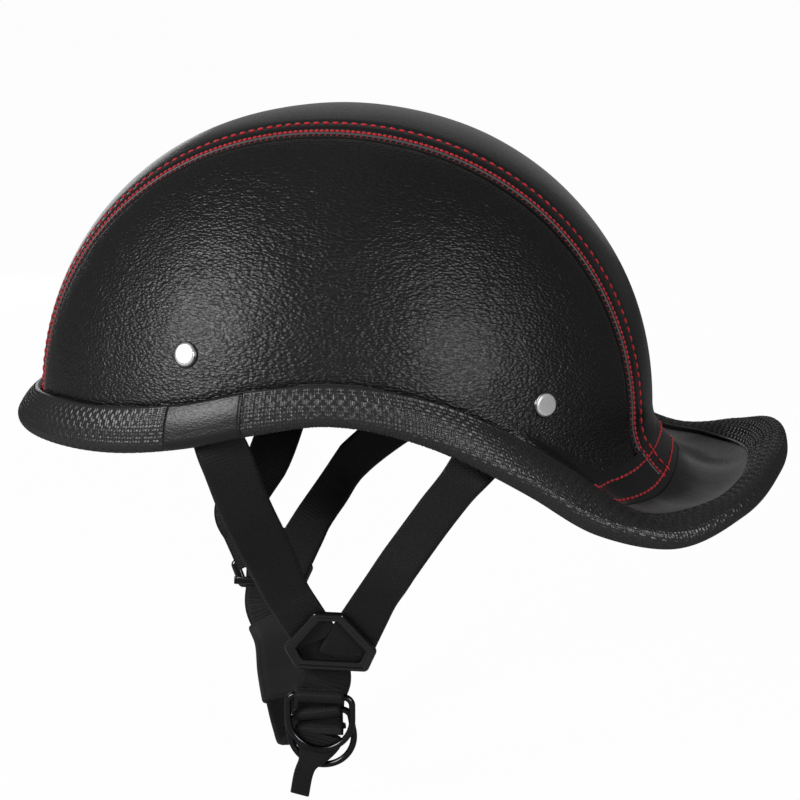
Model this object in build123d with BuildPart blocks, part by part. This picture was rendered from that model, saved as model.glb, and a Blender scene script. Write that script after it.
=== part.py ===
from build123d import *
import os
from math import cos, radians, sin, sqrt

# A half shell helmet. +Z is up, the brow is at -X, the ducktail brim at +X, the wearer's left at -Y.
# The origin is the centre of the dome, on the level of its widest line.

os.makedirs("parts", exist_ok=True)

# dome
half_length = 141.5
half_width = 112.0
dome_height = 137.3
dome_power = 2.08
dome_drop = 46.0

# layers, from the outside in
cover_thickness = 1.5
shell_thickness = 3.5
foam_thickness = 15.0
pad_thickness = 7.0
lining_thickness = 1.0
seat_gap = 0.3
overrun = 20.0

# azimuths of the rim tables, measured from the tail round to the brow
rim_azimuths = (0, 10, 20, 30, 38, 46, 57, 70, 84, 100, 116, 132, 152, 180)
full_turn = 360

# reach of the rim beyond the dome's plan, as shares of the brim's reach
brim_reach = 58.0
edge_reach_shares = (1.0, 1.02, 1.02, 0.86, 0.58, 0.34, 0.175, 0.105, 0.08, 0.08, 0.09, 0.115, 0.165, 0.24)
seam_reach_shares = (0.775, 0.77, 0.69, 0.45, 0.20, 0.06, 0.026, 0.026, 0.026, 0.026, 0.026, 0.026, 0.026, 0.026)

# height of the rim, as shares of the brim's drop
brim_drop = 40.0
edge_height_shares = (-0.16, -0.22, -0.48, -0.76, -0.66, -0.28, 0.08, 0.35, 0.46, 0.33, 0.11, -0.05, -0.14, -0.175)
seam_height_shares = (-0.52, -0.60, -0.68, -0.62, -0.14, 0.22, 0.56, 0.78, 0.86, 0.78, 0.58, 0.43, 0.32, 0.17)

# brim
brim_sections = 13
rim_sections = 21
brim_rise = 4.0
brim_handle_share = 0.42
rim_tuck = 0.4
straight_shares = (0.08, 0.3, 1.0)
cover_half_sweep = 38
band_points = 4
band_proud = 0.6
wall_end = -3.0
panel_end = 2.0

# trim
trim_thickness = 1.8
trim_crown = 0.8
bead_radius = 5.0
trim_inner_leg = 12.0
trim_clearance = 0.2
front_trim_azimuth = 119
rear_trim_azimuth = 103
patch_proud = 0.5
rim_lift = 0.6

# crown panel
crown_half_width = 40.0
crown_end_half_width = 36.0
panel_gap = 0.4

# strap rivets: along the dome, above its widest line
front_rivet_x = -51.3
front_rivet_z = 42.9
rear_rivet_x = 98.0
rear_rivet_z = 21.5
rivet_cap_radius = 5.6
rivet_cap_thickness = 1.7
rivet_cap_round = 0.5
rivet_shank_radius = 2.0
washer_radius = 6.5
washer_thickness = 1.0
fit_clearance = 0.1

# webbing
webbing_width = 23.0
webbing_thickness = 1.4
channel_width = 26.0
channel_depth = 3.6

# dividers
divider_half_width = 21.5
divider_top_half_width = 6.5
divider_top = 16.0
divider_shoulder = -3.5
divider_base_half_width = 16.5
divider_base = -15.2
divider_bar = 4.6
divider_thickness = 3.4
divider_corner = 1.6
divider_bevel = 0.8
divider_tilt = 15
divider_running_gap = 0.5
bridge_width = 4.0
bridge_thickness = 2.0
bridge_post = 2.0
bridge_inset = 0.35
ring_strap_low = -24.3

# dividers' places and the webbing's stations, chosen by hand along the harness
left_divider_centre = (1.9, -60.0, -97.4)
right_divider_centre = (-48.5, 60.0, -100.0)
front_wall = ((-54.0, 52.0), (-51.3, 42.9), (-46.0, 27.0), (-41.0, 13.0))
rear_wall = ((103.0, 27.0), (98.0, 21.5), (88.0, 12.0), (78.0, 5.0))
front_free = {
    "left": ((-35.0, -100.5, -2.0, 0, 0.25), (-29.4, -92.0, -25.0, 0, 0.4), (-23.0, -79.0, -49.0, 0, 0.5)),
    "right": ((-38.0, 100.5, -2.0, 0, 0.25), (-46.0, 92.0, -28.0, 0, 0.4), (-55.0, 78.0, -56.0, 0, 0.5)),
}
rear_free = {
    "left": ((64.0, -93.0, -7.0, 0.2, 0.25), (50.0, -83.0, -27.0, 0.1, 0.4), (34.0, -72.0, -53.0, 0, 0.45)),
    "right": ((60.0, 95.0, -7.0, 0.2, 0.2), (24.0, 94.0, -27.0, 0.1, 0.4), (-10.3, 85.0, -53.0, 0, 0.5)),
}
front_tail = ((-19.0, 23.5), (-14.3, 14.0), (-9.5, 4.5), (-6.5, -1.5))
rear_tail = ((20.0, 24.0), (15.4, 13.7), (11.0, 3.5), (7.0, -6.0))
crease_top = (3.9, 11.4)
crease_base = (-9.7, -11.4)
strap_base = -6.5

# D-rings, with the strap that holds their bars
ring_wire_radius = 1.5
ring_half_width = 15.0
ring_height = 26.0
ring_corner = 4.0
loop_clearance = 0.1
drop_shift = -3.8
drop_top = 1.0
link_lean_share = 0.4
outer_bar = (-4.5, -51.6, -127.2)
inner_bar = (-6.5, -46.4, -137.4)
inner_roll = 10

# chin strap, from the right divider under the chin and through the inner ring, and its free tail
chin_shift = 0.8
chin_straight = -23.0
chin_sections = 24
sleeve_span = (4, 15)
chin_free = (
    (-41.5, 42.0, -134.5), (-36.5, 26.0, -146.0), (-29.6, 5.0, -154.0), (-22.6, -15.0, -158.6),
    (-16.5, -31.0, -160.0), (-12.0, -38.0, -155.6),
)
fold_centre = (-5.6, -45.0, -147.0)
fold_radius = 4.0
tail_free = ((-8.0, -49.0, -156.0), (-12.6, -48.9, -166.0), (-15.3, -47.4, -178.5))
tail_tip_width = 9.0

# chin pad
sleeve_width = 27.0
sleeve_thickness = 6.0
sleeve_clearance = 0.1

# foam and comfort pads
channel_top_share = 0.6
crown_pad_radius = 50.0
pad_reach = 44.0
end_pad_middle = 34.0
end_pad_width = 110.0
side_pad_middle = 62.0
side_pad_width = 96.0


def rim_value(shares, size, azimuth):
    """Smooth value round the rim, even about the middle plane."""
    turn = abs((azimuth + full_turn / 2) % full_turn - full_turn / 2)
    knots = [-rim_azimuths[1]] + list(rim_azimuths) + [full_turn - rim_azimuths[-2]]
    values = [shares[1]] + list(shares) + [shares[-2]]
    place = max(i for i in range(1, len(knots) - 2) if knots[i] <= turn)

    def slope(i):
        before, after = knots[i] - knots[i - 1], knots[i + 1] - knots[i]
        rise_before = (values[i] - values[i - 1]) / before
        rise_after = (values[i + 1] - values[i]) / after
        return (rise_before * after + rise_after * before) / (before + after)

    span = knots[place + 1] - knots[place]
    t = (turn - knots[place]) / span
    start, finish = values[place], values[place + 1]
    bend = (t**3 - 2 * t**2 + t) * slope(place) + (t**3 - t**2) * slope(place + 1)
    return size * (start + (3 * t**2 - 2 * t**3) * (finish - start) + bend * span)


def plan_radius(azimuth, inset=0.0):
    angle = radians(azimuth)
    return 1 / sqrt((cos(angle) / (half_length - inset)) ** 2 + (sin(angle) / (half_width - inset)) ** 2)


def height_share(z, inset=0.0):
    """How much of its plan the dome keeps at a height."""
    return (1 - abs(z / (dome_height - inset)) ** dome_power) ** (1 / dome_power)


def dome_radius(azimuth, z, inset=0.0):
    return plan_radius(azimuth, inset) * height_share(z, inset)


def dome_point(x, z, side, inset=0.0):
    """Point of the dome at a place along it and a height, with its outward direction."""
    share = height_share(z, inset)
    width = half_width - inset
    y = side * width * sqrt(share**2 - (x / (half_length - inset)) ** 2)
    slope = share ** (2 - dome_power) * (abs(z) / (dome_height - inset)) ** (dome_power - 1)
    lift = slope / (dome_height - inset) * (1 if z > 0 else -1)
    outward = Vector(x / (half_length - inset) ** 2, y / width**2, lift)
    return Vector(x, y, z), outward.normalized()


def radial_plane(azimuth):
    """Upright plane through the dome's axis: across is outwards, up is up."""
    angle = radians(azimuth)
    return Plane(origin=(0, 0, 0), x_dir=(cos(angle), sin(angle), 0), z_dir=(sin(angle), -cos(angle), 0))


def edge_point(azimuth):
    reach = plan_radius(azimuth) + rim_value(edge_reach_shares, brim_reach, azimuth)
    return Vector(reach, rim_value(edge_height_shares, brim_drop, azimuth))


def seam_point(azimuth):
    z = rim_value(seam_height_shares, brim_drop, azimuth)
    radius = dome_radius(azimuth, max(z, 0))
    return Vector(radius + rim_value(seam_reach_shares, brim_reach, azimuth), z)


def brim_root(azimuth):
    """Height at which the brim leaves the dome, smoothly above the trim's seam."""
    over_seam = seam_point(azimuth).Y + 2 * brim_rise
    middle, apart = (brim_rise + over_seam) / 2, (brim_rise - over_seam) / 2
    return middle + sqrt(apart**2 + brim_rise**2)


def skirt_curve(azimuth, inset, beyond):
    """Points of the brim's profile, from the dome down, out and on past the trim's seam."""
    root = brim_root(azimuth)
    top = Vector(dome_radius(azimuth, root) - rim_tuck, root)
    spread = plan_radius(azimuth) / dome_height * height_share(root) ** (1 - dome_power)
    down = Vector(spread * (root / dome_height) ** (dome_power - 1), -1).normalized()
    seam, edge = seam_point(azimuth), edge_point(azimuth)
    out = (edge - seam).normalized()
    reach = (seam - top).length * brim_handle_share
    first, second = top + down * reach, seam - out * reach
    points = []
    for step in range(9):
        t = step / 8
        point = top * (1 - t) ** 3 + first * 3 * t * (1 - t) ** 2 + second * 3 * t**2 * (1 - t) + seam * t**3
        along = (first - top) * (1 - t) ** 2 + (second - first) * 2 * t * (1 - t) + (seam - second) * t**2
        along = along.normalized()
        points.append(point + Vector(along.Y, -along.X) * inset)
    return points + [seam + out * (beyond * share) + Vector(out.Y, -out.X) * inset for share in straight_shares]


def dome_solid(inset):
    """The full dome under one layer, closed below the rim."""
    crown = dome_height - inset
    with BuildPart() as dome:
        with BuildSketch(Plane.XZ):
            with BuildLine():
                outline = []
                for step in range(13):
                    level = sin(radians(90 * (1 - step / 12)))
                    outline.append((height_share(crown * level, inset) * (half_length - inset), crown * level))
                low = -dome_drop
                outline.append((height_share(low, inset) * (half_length - inset), low))
                Spline(*outline, tangents=[(1, 0), (-0.2, -1)])
                Polyline((outline[-1][0], low), (0, low), (0, crown))
            make_face()
        revolve(axis=Axis.Z)
    return scale(dome.part, by=(1, (half_width - inset) / (half_length - inset), 1))


def above_seam(lift, rear_end):
    """Prism that keeps what lies above the trim's seam, seen from the side, and ends at a height at the rear."""
    points = []
    for azimuth in range(180, cover_half_sweep, -9):
        seam = seam_point(azimuth)
        points.append((seam.X * cos(radians(azimuth)), seam.Y + lift))
    front, rear = points[0], (points[-1][0] + brim_rise, rear_end)
    with BuildPart() as prism:
        with BuildSketch(Plane.XZ):
            with BuildLine():
                Spline(*points, rear)
                Polyline(
                    rear,
                    (half_length + brim_reach + overrun, rear[1]),
                    (half_length + brim_reach + overrun, dome_height + overrun),
                    (front[0] - overrun, dome_height + overrun),
                    (front[0] - overrun, front[1]),
                    front,
                )
            make_face()
        extrude(amount=half_width + overrun, both=True)
    return prism.part


def skirt_layer(outer, inner, start, finish, sections, first=0, last=None):
    """Curved plate between two insets and two azimuths, from one point of the profile to another."""
    with BuildPart() as layer:
        for step in range(sections):
            azimuth = start + (finish - start) * step / (sections - 1)
            to_bead = (edge_point(azimuth) - seam_point(azimuth)).length - bead_radius
            over = skirt_curve(azimuth, outer, to_bead)[first:last]
            under = skirt_curve(azimuth, inner, to_bead)[first:last]
            with BuildSketch(radial_plane(azimuth)):
                with BuildLine():
                    Spline(*over)
                    Line(over[-1], under[-1])
                    Spline(*reversed(under))
                    Line(under[0], over[0])
                make_face()
        loft()
    return layer.part


def trim_piece(start, finish, sections, proud):
    """Edge binding between two azimuths: a U that holds the shell's edge, with a rounded bead."""
    with BuildPart() as trim:
        for step in range(sections):
            azimuth = start + (finish - start) * step / (sections - 1)
            seam, edge = seam_point(azimuth), edge_point(azimuth)
            out = (edge - seam).normalized()
            normal = Vector(-out.Y, out.X)
            length = (edge - seam).length
            top = trim_thickness + proud
            under = top - 2 * bead_radius
            slot_top = -cover_thickness + trim_clearance
            slot_bottom = -cover_thickness - shell_thickness - trim_clearance
            slot_end = length - bead_radius + trim_clearance
            leg = length - trim_inner_leg

            def at(along, height):
                return seam + out * along + normal * height

            with BuildSketch(radial_plane(azimuth)):
                with BuildLine():
                    Line(at(trim_clearance, slot_top), at(trim_clearance, top))
                    Spline(
                        at(trim_clearance, top),
                        at(length / 2, top + trim_crown),
                        at(length - bead_radius, top),
                        at(length, top - bead_radius),
                        at(length - bead_radius, under),
                        tangents=[out, -out],
                    )
                    Polyline(
                        at(length - bead_radius, under),
                        at(leg, under),
                        at(leg, slot_bottom),
                        at(slot_end, slot_bottom),
                        at(slot_end, slot_top),
                        at(trim_clearance, slot_top),
                    )
                make_face()
        loft()
    return trim.part


def ribbon(stations, width, thickness, ruled=False):
    """Webbing through stations, each a centre and the direction that its outer face looks.

    Where no face is given, the webbing's width lies along the helmet.
    """
    with BuildPart() as strap:
        for i, (centre, face) in enumerate(stations):
            before, after = stations[max(i - 1, 0)][0], stations[min(i + 1, len(stations) - 1)][0]
            along = (Vector(*after) - Vector(*before)).normalized()
            across = Vector(1, 0, 0) - along * along.X if face is None else Vector(*face).cross(along)
            with BuildSketch(Plane(origin=centre, x_dir=across, z_dir=along)):
                Rectangle(width, thickness)
        loft(ruled=ruled)
    return strap.part


def bore(place, axis, radius, length):
    """Round cutter centred on a place."""
    with BuildPart() as cutter:
        with BuildSketch(Plane(origin=place, z_dir=axis)):
            Circle(radius)
        extrude(amount=length / 2, both=True)
    return cutter.part


# filled domes, one for each surface between two layers
depth_shell = cover_thickness
depth_foam = depth_shell + shell_thickness
depth_liner = depth_foam + rim_tuck + fit_clearance
depth_pad = depth_foam + foam_thickness + seat_gap
depth_inside = depth_pad + pad_thickness
dome_outer = dome_solid(0)
dome_shell = dome_solid(depth_shell)
dome_foam = dome_solid(depth_foam)
dome_liner = dome_solid(depth_liner)
above_rim = above_seam(rim_lift, wall_end)
above_band = above_seam(rim_lift, panel_end)

# rivet places, with the direction each one looks
rivet_places = {}
for side_name, side in (("left", -1), ("right", 1)):
    rivet_places[side_name + "_front"] = dome_point(front_rivet_x, front_rivet_z, side)
    rivet_places[side_name + "_rear"] = dome_point(rear_rivet_x, rear_rivet_z, side)
hole_radius = rivet_shank_radius + fit_clearance
rivet_bores = [bore(place, axis, hole_radius, overrun) for place, axis in rivet_places.values()]

# hard shell: the dome's wall and the flared rim with its brim, in one moulding
side_azimuth = 100
rear_rim = skirt_layer(depth_shell, depth_foam, -side_azimuth, side_azimuth, rim_sections)
front_rim = skirt_layer(depth_shell, depth_foam, side_azimuth, full_turn - side_azimuth, rim_sections)
with BuildPart() as dome_wall:
    add(dome_shell)
    add(dome_foam, mode=Mode.SUBTRACT)
    add(above_rim, mode=Mode.INTERSECT)
with BuildPart() as hard_shell:
    add(rear_rim)
    add(front_rim)
    add(dome_wall.part)
    for cutter in rivet_bores:
        add(cutter, mode=Mode.SUBTRACT)
hard_shell.part.label = "hard_shell"
export_step(hard_shell.part, "parts/hard_shell.step")
print("hard shell", hard_shell.part.volume, len(hard_shell.part.solids()), hard_shell.part.is_valid)


def side_prism(points):
    """Upright block whose plan is the given closed outline."""
    with BuildPart() as prism:
        with BuildSketch(Plane.XY.offset(-dome_drop)):
            with BuildLine():
                Polyline(*points, close=True)
            make_face()
        extrude(amount=dome_drop + dome_height + overrun)
    return prism.part


# leather panels: the strip over the crown and one panel at each side of it
with BuildPart() as cover:
    add(dome_outer)
    add(dome_shell, mode=Mode.SUBTRACT)
    add(above_band, mode=Mode.INTERSECT)
    for cutter in rivet_bores:
        add(cutter, mode=Mode.SUBTRACT)


def crown_strip(widen):
    with BuildPart() as strip:
        with BuildSketch(Plane.XY):
            with BuildLine():
                far = half_length + overrun
                ends, middle = crown_end_half_width + widen, crown_half_width + widen
                Spline((-far, ends), (0, middle), (far, ends), tangents=[(1, 0), (1, 0)])
                Line((far, ends), (far, -ends))
                Spline((far, -ends), (0, -middle), (-far, -ends), tangents=[(-1, 0), (-1, 0)])
                Line((-far, -ends), (-far, ends))
            make_face()
        extrude(amount=dome_height + overrun, both=True)
    return strip.part


with BuildPart() as crown_panel:
    add(cover.part)
    add(crown_strip(0), mode=Mode.INTERSECT)
crown_panel.part.label = "crown_panel"
export_step(crown_panel.part, "parts/crown_panel.step")

side_panels = {}
for side_name, side in (("left", -1), ("right", 1)):
    far, wide = half_length + overrun, half_width + overrun
    half_space = side_prism([(-far, 0), (far, 0), (far, side * wide), (-far, side * wide)])
    with BuildPart() as panel:
        add(cover.part)
        add(crown_strip(panel_gap), mode=Mode.SUBTRACT)
        add(half_space, mode=Mode.INTERSECT)
    panel.part.label = side_name + "_side_panel"
    export_step(panel.part, "parts/" + side_name + "_side_panel.step")
    side_panels[side_name] = panel.part
panels = [crown_panel.part, side_panels["left"], side_panels["right"]]
print("panels", [(round(piece.volume), len(piece.solids())) for piece in panels])

# band that joins the brim's leather to the dome's, and the brim's leather
over_shell = depth_shell - seat_gap
cover_span = (-cover_half_sweep, cover_half_sweep, brim_sections)
rear_band = skirt_layer(-band_proud, over_shell, *cover_span, first=1, last=band_points + 1)
seam_end = -len(straight_shares)
brim_cover = skirt_layer(0, over_shell, *cover_span, first=band_points, last=seam_end)
lining_top = depth_foam + seat_gap
lining_base = lining_top + lining_thickness
lining = skirt_layer(lining_top, lining_base, *cover_span, first=3, last=seam_end - 1)
for name, piece in (("rear_band", rear_band), ("brim_cover", brim_cover), ("brim_underside", lining)):
    piece.label = name
    export_step(piece, "parts/" + name + ".step")
    print(name, [round(x.volume, 1) for x in piece.solids()], piece.is_valid)

# edge binding: textured at the front and rear, smooth between them
trims = {
    "front_trim": (front_trim_azimuth, full_turn - front_trim_azimuth, rim_sections, 0),
    "rear_trim": (-rear_trim_azimuth, rear_trim_azimuth, 2 * rim_sections - 1, 0),
    "left_trim_patch": (-front_trim_azimuth, -rear_trim_azimuth, 3, patch_proud),
    "right_trim_patch": (rear_trim_azimuth, front_trim_azimuth, 3, patch_proud),
}
for name, shape in trims.items():
    piece = trim_piece(*shape)
    piece.label = name
    export_step(piece, "parts/" + name + ".step")
    print(name, [round(x.volume, 1) for x in piece.solids()], piece.is_valid)


def save(piece, name):
    piece.label = name
    export_step(piece, "parts/" + name + ".step")
    print(name, [round(x.volume, 1) for x in piece.solids()], piece.is_valid)


def wall_station(x, z, side, inset):
    place, face = dome_point(x, z, side, inset)
    return place, face


def divider_plane(side, centre):
    """Plane of a divider: its face looks outwards and a little down."""
    lean = radians(divider_tilt)
    return Plane(origin=centre, x_dir=(-side, 0, 0), z_dir=(0, side * cos(lean), -sin(lean)))


# harness webbing: each strap starts inside the shell at its rivet and ends behind a divider
strap_layer = -divider_thickness / 2 - divider_running_gap - webbing_thickness / 2
drop_layer = strap_layer - divider_running_gap - webbing_thickness
planes = {"left": divider_plane(-1, left_divider_centre), "right": divider_plane(1, right_divider_centre)}
wall_inset = depth_liner + webbing_thickness / 2
straps = {}
for side_name, side in (("left", -1), ("right", 1)):
    plane = planes[side_name]
    outward = plane.z_dir
    for end_name, wall, free, tail in (
        ("front", front_wall, front_free[side_name], front_tail),
        ("rear", rear_wall, rear_free[side_name], rear_tail),
    ):
        stations = [wall_station(x, z, side, wall_inset) for x, z in wall]
        stations += [(Vector(x, y, z), Vector(lean, side, up)) for x, y, z, lean, up in free]
        stations += [(plane.from_local_coords((side * -x, y, strap_layer)), outward) for x, y in tail]
        strap = ribbon(stations, webbing_width, webbing_thickness)
        straps[side_name + "_" + end_name] = (strap, stations)

for side_name, side in (("left", -1), ("right", 1)):
    plane = planes[side_name]
    crease = [plane.from_local_coords((side * -x, y, strap_layer)) for x, y in (crease_top, crease_base)]
    for end_name in ("front", "rear"):
        strap, stations = straps[side_name + "_" + end_name]
        sign = 1 if end_name == "front" else -1
        along = (crease[0] - crease[1]).normalized()
        away = plane.z_dir.cross(along) * (sign * -side)
        keep = Plane(origin=crease[0] - away * (panel_gap / 2), x_dir=along, z_dir=away)
        base = Plane(origin=plane.from_local_coords((0, strap_base, 0)), x_dir=plane.x_dir, z_dir=plane.y_dir)
        rivet_bore = bore(*rivet_places[side_name + "_" + end_name], hole_radius, overrun)
        with BuildPart() as webbing:
            add(strap)
            for cutting in (keep, base):
                with BuildSketch(cutting):
                    Rectangle(2 * half_length, 2 * half_length)
                extrude(amount=-2 * half_length, mode=Mode.SUBTRACT)
            add(rivet_bore, mode=Mode.SUBTRACT)
        save(webbing.part, side_name + "_" + end_name + "_strap")


# dividers: a bevelled frame, with a bridge behind the webbing
for side_name in ("left", "right"):
    plane = planes[side_name]
    back = strap_layer - divider_running_gap - webbing_thickness * 1.5 - divider_running_gap
    with BuildPart() as divider:
        with BuildSketch(plane.offset(-divider_thickness / 2)):
            with BuildLine():
                Polyline(
                    (-divider_top_half_width, divider_top),
                    (divider_top_half_width, divider_top),
                    (divider_half_width, divider_shoulder),
                    (divider_base_half_width, divider_base),
                    (-divider_base_half_width, divider_base),
                    (-divider_half_width, divider_shoulder),
                    close=True,
                )
            make_face()
            fillet(vertices(), divider_corner)
            offset(amount=-divider_bar, mode=Mode.SUBTRACT, kind=Kind.INTERSECTION)
        extrude(amount=divider_thickness)
        front_face = faces().sort_by(Axis(plane.origin, plane.z_dir))[-1]
        chamfer(front_face.edges(), divider_bevel)
        post_x = divider_base_half_width + bridge_inset
        bridge_y = divider_base + bridge_width
        with BuildSketch(plane.offset(-divider_thickness / 2)):
            with Locations((post_x, bridge_y), (-post_x, bridge_y)):
                Rectangle(bridge_post, bridge_width)
        extrude(amount=back + divider_thickness / 2 - bridge_thickness)
        with BuildSketch(plane.offset(back)):
            with Locations((0, bridge_y)):
                Rectangle(2 * post_x, bridge_width)
        extrude(amount=-bridge_thickness)
    save(divider.part, side_name + "_divider")


# D-rings: a straight bar in the strap's loop and a round bow
def ring_plane(bar, roll):
    return Plane(origin=bar, x_dir=(cos(radians(roll)), 0, sin(radians(roll))), z_dir=(0, -1, 0))


def d_ring(plane):
    side_x, bow_y = ring_half_width, -(ring_height - ring_half_width)
    with BuildPart() as ring:
        with BuildLine(plane) as path:
            bar = Line((-side_x + ring_corner, 0), (side_x - ring_corner, 0))
            CenterArc((side_x - ring_corner, -ring_corner), ring_corner, 90, -90)
            Line((side_x, -ring_corner), (side_x, bow_y))
            CenterArc((0, bow_y), side_x, 0, -180)
            Line((-side_x, bow_y), (-side_x, -ring_corner))
            CenterArc((-side_x + ring_corner, -ring_corner), ring_corner, 180, -90)
        with BuildSketch(Plane(origin=bar @ 0, z_dir=bar % 0)):
            Circle(ring_wire_radius)
        sweep(path=path.wires()[0])
    return ring.part


outer_plane = ring_plane(outer_bar, 0)
inner_plane = ring_plane(inner_bar, inner_roll)
save(d_ring(outer_plane), "outer_d_ring")
save(d_ring(inner_plane), "inner_d_ring")

# short strap from the left divider, with a sewn loop for each ring's bar
plane = planes["left"]
loop_inner = ring_wire_radius + loop_clearance
loop_outer = loop_inner + webbing_thickness
loop_middle = loop_inner + webbing_thickness / 2
outer_bar_centre, inner_bar_centre = Vector(*outer_bar), Vector(*inner_bar)
drop_stations = [
    (plane.from_local_coords((drop_shift, y, drop_layer)), plane.z_dir)
    for y in (drop_top, divider_shoulder * 2, divider_base, ring_strap_low)
]
drop_stations.append((outer_bar_centre + Vector(0, loop_middle, 0), Vector(0, -1, 0)))
link_stations = [
    (outer_bar_centre + Vector(0, loop_middle, 0), Vector(0, -1, 0)),
    ((outer_bar_centre + inner_bar_centre) / 2 + Vector(0, loop_middle, 0), Vector(0, -1, -link_lean_share)),
    (inner_bar_centre + Vector(0, loop_middle, 0), Vector(0, -1, 0)),
]
drop_ribbon = ribbon(drop_stations, webbing_width, webbing_thickness)
link_ribbon = ribbon(link_stations, webbing_width, webbing_thickness)
with BuildPart() as ring_strap:
    add(drop_ribbon)
    add(link_ribbon)
    for loop_plane in (outer_plane, inner_plane):
        with BuildSketch(Plane(origin=loop_plane.origin, z_dir=loop_plane.x_dir)):
            Circle(loop_outer)
        extrude(amount=webbing_width / 2, both=True)
    for loop_plane in (outer_plane, inner_plane):
        with BuildSketch(Plane(origin=loop_plane.origin, z_dir=loop_plane.x_dir)):
            Circle(loop_inner)
        extrude(amount=webbing_width, both=True, mode=Mode.SUBTRACT)
save(ring_strap.part, "left_ring_strap")

# chin strap with its fold over the inner ring, and the tail between the rings
plane = planes["right"]
chin_stations = [
    (plane.from_local_coords((chin_shift, y, drop_layer)), None)
    for y in (drop_top, divider_shoulder * 2, divider_base, chin_straight)
]
chin_stations += [(Vector(*place), None) for place in chin_free]
centre = Vector(*fold_centre)
fold_stations = []
for turn in (0, 30, 60, 90, 120, 150, 180):
    out = Vector(0, cos(radians(turn)), sin(radians(turn)))
    fold_stations.append((centre + out * fold_radius, out))
chin_stations.append(fold_stations[0])
with BuildLine() as chin_line:
    chin_route = Spline(*[place for place, face in chin_stations])
chin_run = ribbon(
    [(chin_route @ (i / chin_sections), None) for i in range(chin_sections + 1)],
    webbing_width,
    webbing_thickness,
    ruled=True,
)
chin_fold = ribbon(fold_stations, webbing_width, webbing_thickness, ruled=True)
with BuildPart() as chin_strap:
    add(chin_run)
    add(chin_fold)
save(chin_strap.part, "chin_strap")

with BuildPart() as strap_tail:
    tail_places = [fold_stations[-1][0]] + [Vector(*place) for place in tail_free]
    for i, place in enumerate(tail_places):
        before, after = tail_places[max(i - 1, 0)], tail_places[min(i + 1, len(tail_places) - 1)]
        along = (after - before).normalized() if i else Vector(0, 0, -1)
        across = Vector(0, -1, 0).cross(along).normalized()
        narrow = webbing_width - (webbing_width - tail_tip_width) * (i / (len(tail_places) - 1)) ** 2
        with BuildSketch(Plane(origin=place, x_dir=across, z_dir=along)):
            Rectangle(narrow, webbing_thickness)
    loft()
save(strap_tail.part, "strap_tail")

# padded sleeve round the chin strap
sleeve_start, sleeve_end = sleeve_span
sleeve_gap = 2 * sleeve_clearance
sleeve_stations = [(chin_route @ (i / chin_sections), None) for i in range(sleeve_start, sleeve_end + 1)]
sleeve_body = ribbon(sleeve_stations[1:-1], sleeve_width, sleeve_thickness, ruled=True)
sleeve_bore = ribbon(sleeve_stations, webbing_width + sleeve_gap, webbing_thickness + sleeve_gap, ruled=True)
with BuildPart() as chin_sleeve:
    add(sleeve_body)
    add(sleeve_bore, mode=Mode.SUBTRACT)
save(chin_sleeve.part, "chin_sleeve")

# rivets: a domed cap and shank, and a washer behind the strap
washer_depth = depth_liner + webbing_thickness + fit_clearance
for name, (place, axis) in rivet_places.items():
    with BuildPart() as rivet:
        with BuildSketch(Plane(origin=place + axis * seat_gap, z_dir=axis)):
            Circle(rivet_cap_radius)
        extrude(amount=rivet_cap_thickness)
        top = faces().sort_by(Axis(place, axis))[-1]
        fillet(top.edges(), rivet_cap_round)
        with BuildSketch(Plane(origin=place + axis * seat_gap, z_dir=axis)):
            Circle(rivet_shank_radius)
        extrude(amount=-(washer_depth + washer_thickness + 2 * seat_gap))
    save(rivet.part, name + "_rivet")

with BuildPart() as washers:
    for place, axis in rivet_places.values():
        with BuildSketch(Plane(origin=place - axis * (washer_depth + seat_gap), z_dir=axis)):
            Circle(washer_radius)
            Circle(hole_radius, mode=Mode.SUBTRACT)
        extrude(amount=-washer_thickness)
save(washers.part, "rivet_washers")

# foam liner, with a channel for each strap
dome_under_foam = dome_solid(depth_foam + foam_thickness)
channels = []
for strap, stations in straps.values():
    inner = [(place - face * (channel_depth / 2 - webbing_thickness), face) for place, face in stations[:4]]
    top = inner[0][0] + (inner[0][0] - inner[1][0]) * channel_top_share
    channels.append(ribbon([(top, inner[0][1])] + inner, channel_width, channel_depth))
with BuildPart() as foam_liner:
    add(dome_liner)
    add(dome_under_foam, mode=Mode.SUBTRACT)
    add(above_rim, mode=Mode.INTERSECT)
    for channel in channels:
        add(channel, mode=Mode.SUBTRACT)
save(foam_liner.part, "foam_liner")

# comfort pads
dome_pad = dome_solid(depth_pad)
dome_inside = dome_solid(depth_inside)
with BuildPart() as pad_layer:
    add(dome_pad)
    add(dome_inside, mode=Mode.SUBTRACT)
pad_places = {
    "front_pad": ((-half_length, 0, end_pad_middle + brim_rise), (half_length, end_pad_width, pad_reach)),
    "rear_pad": ((half_length, 0, end_pad_middle), (half_length, end_pad_width, pad_reach)),
    "left_pad": ((0, -half_width, side_pad_middle), (side_pad_width, half_width, pad_reach)),
    "right_pad": ((0, half_width, side_pad_middle), (side_pad_width, half_width, pad_reach)),
}
for name, (place, size) in pad_places.items():
    with BuildPart() as pad:
        with Locations(place):
            Box(*size)
        add(pad_layer.part, mode=Mode.INTERSECT)
    save(pad.part, name)
with BuildPart() as crown_pad:
    with Locations((0, 0, dome_height)):
        Cylinder(crown_pad_radius, dome_height)
    add(pad_layer.part, mode=Mode.INTERSECT)
save(crown_pad.part, "crown_pad")
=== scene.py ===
from math import asin, cos, degrees, pi, radians, sin, sqrt

import bmesh
import bpy
import numpy as np
from bpy.props import FloatProperty, FloatVectorProperty, IntProperty, PointerProperty
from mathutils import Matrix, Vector, noise


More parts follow.
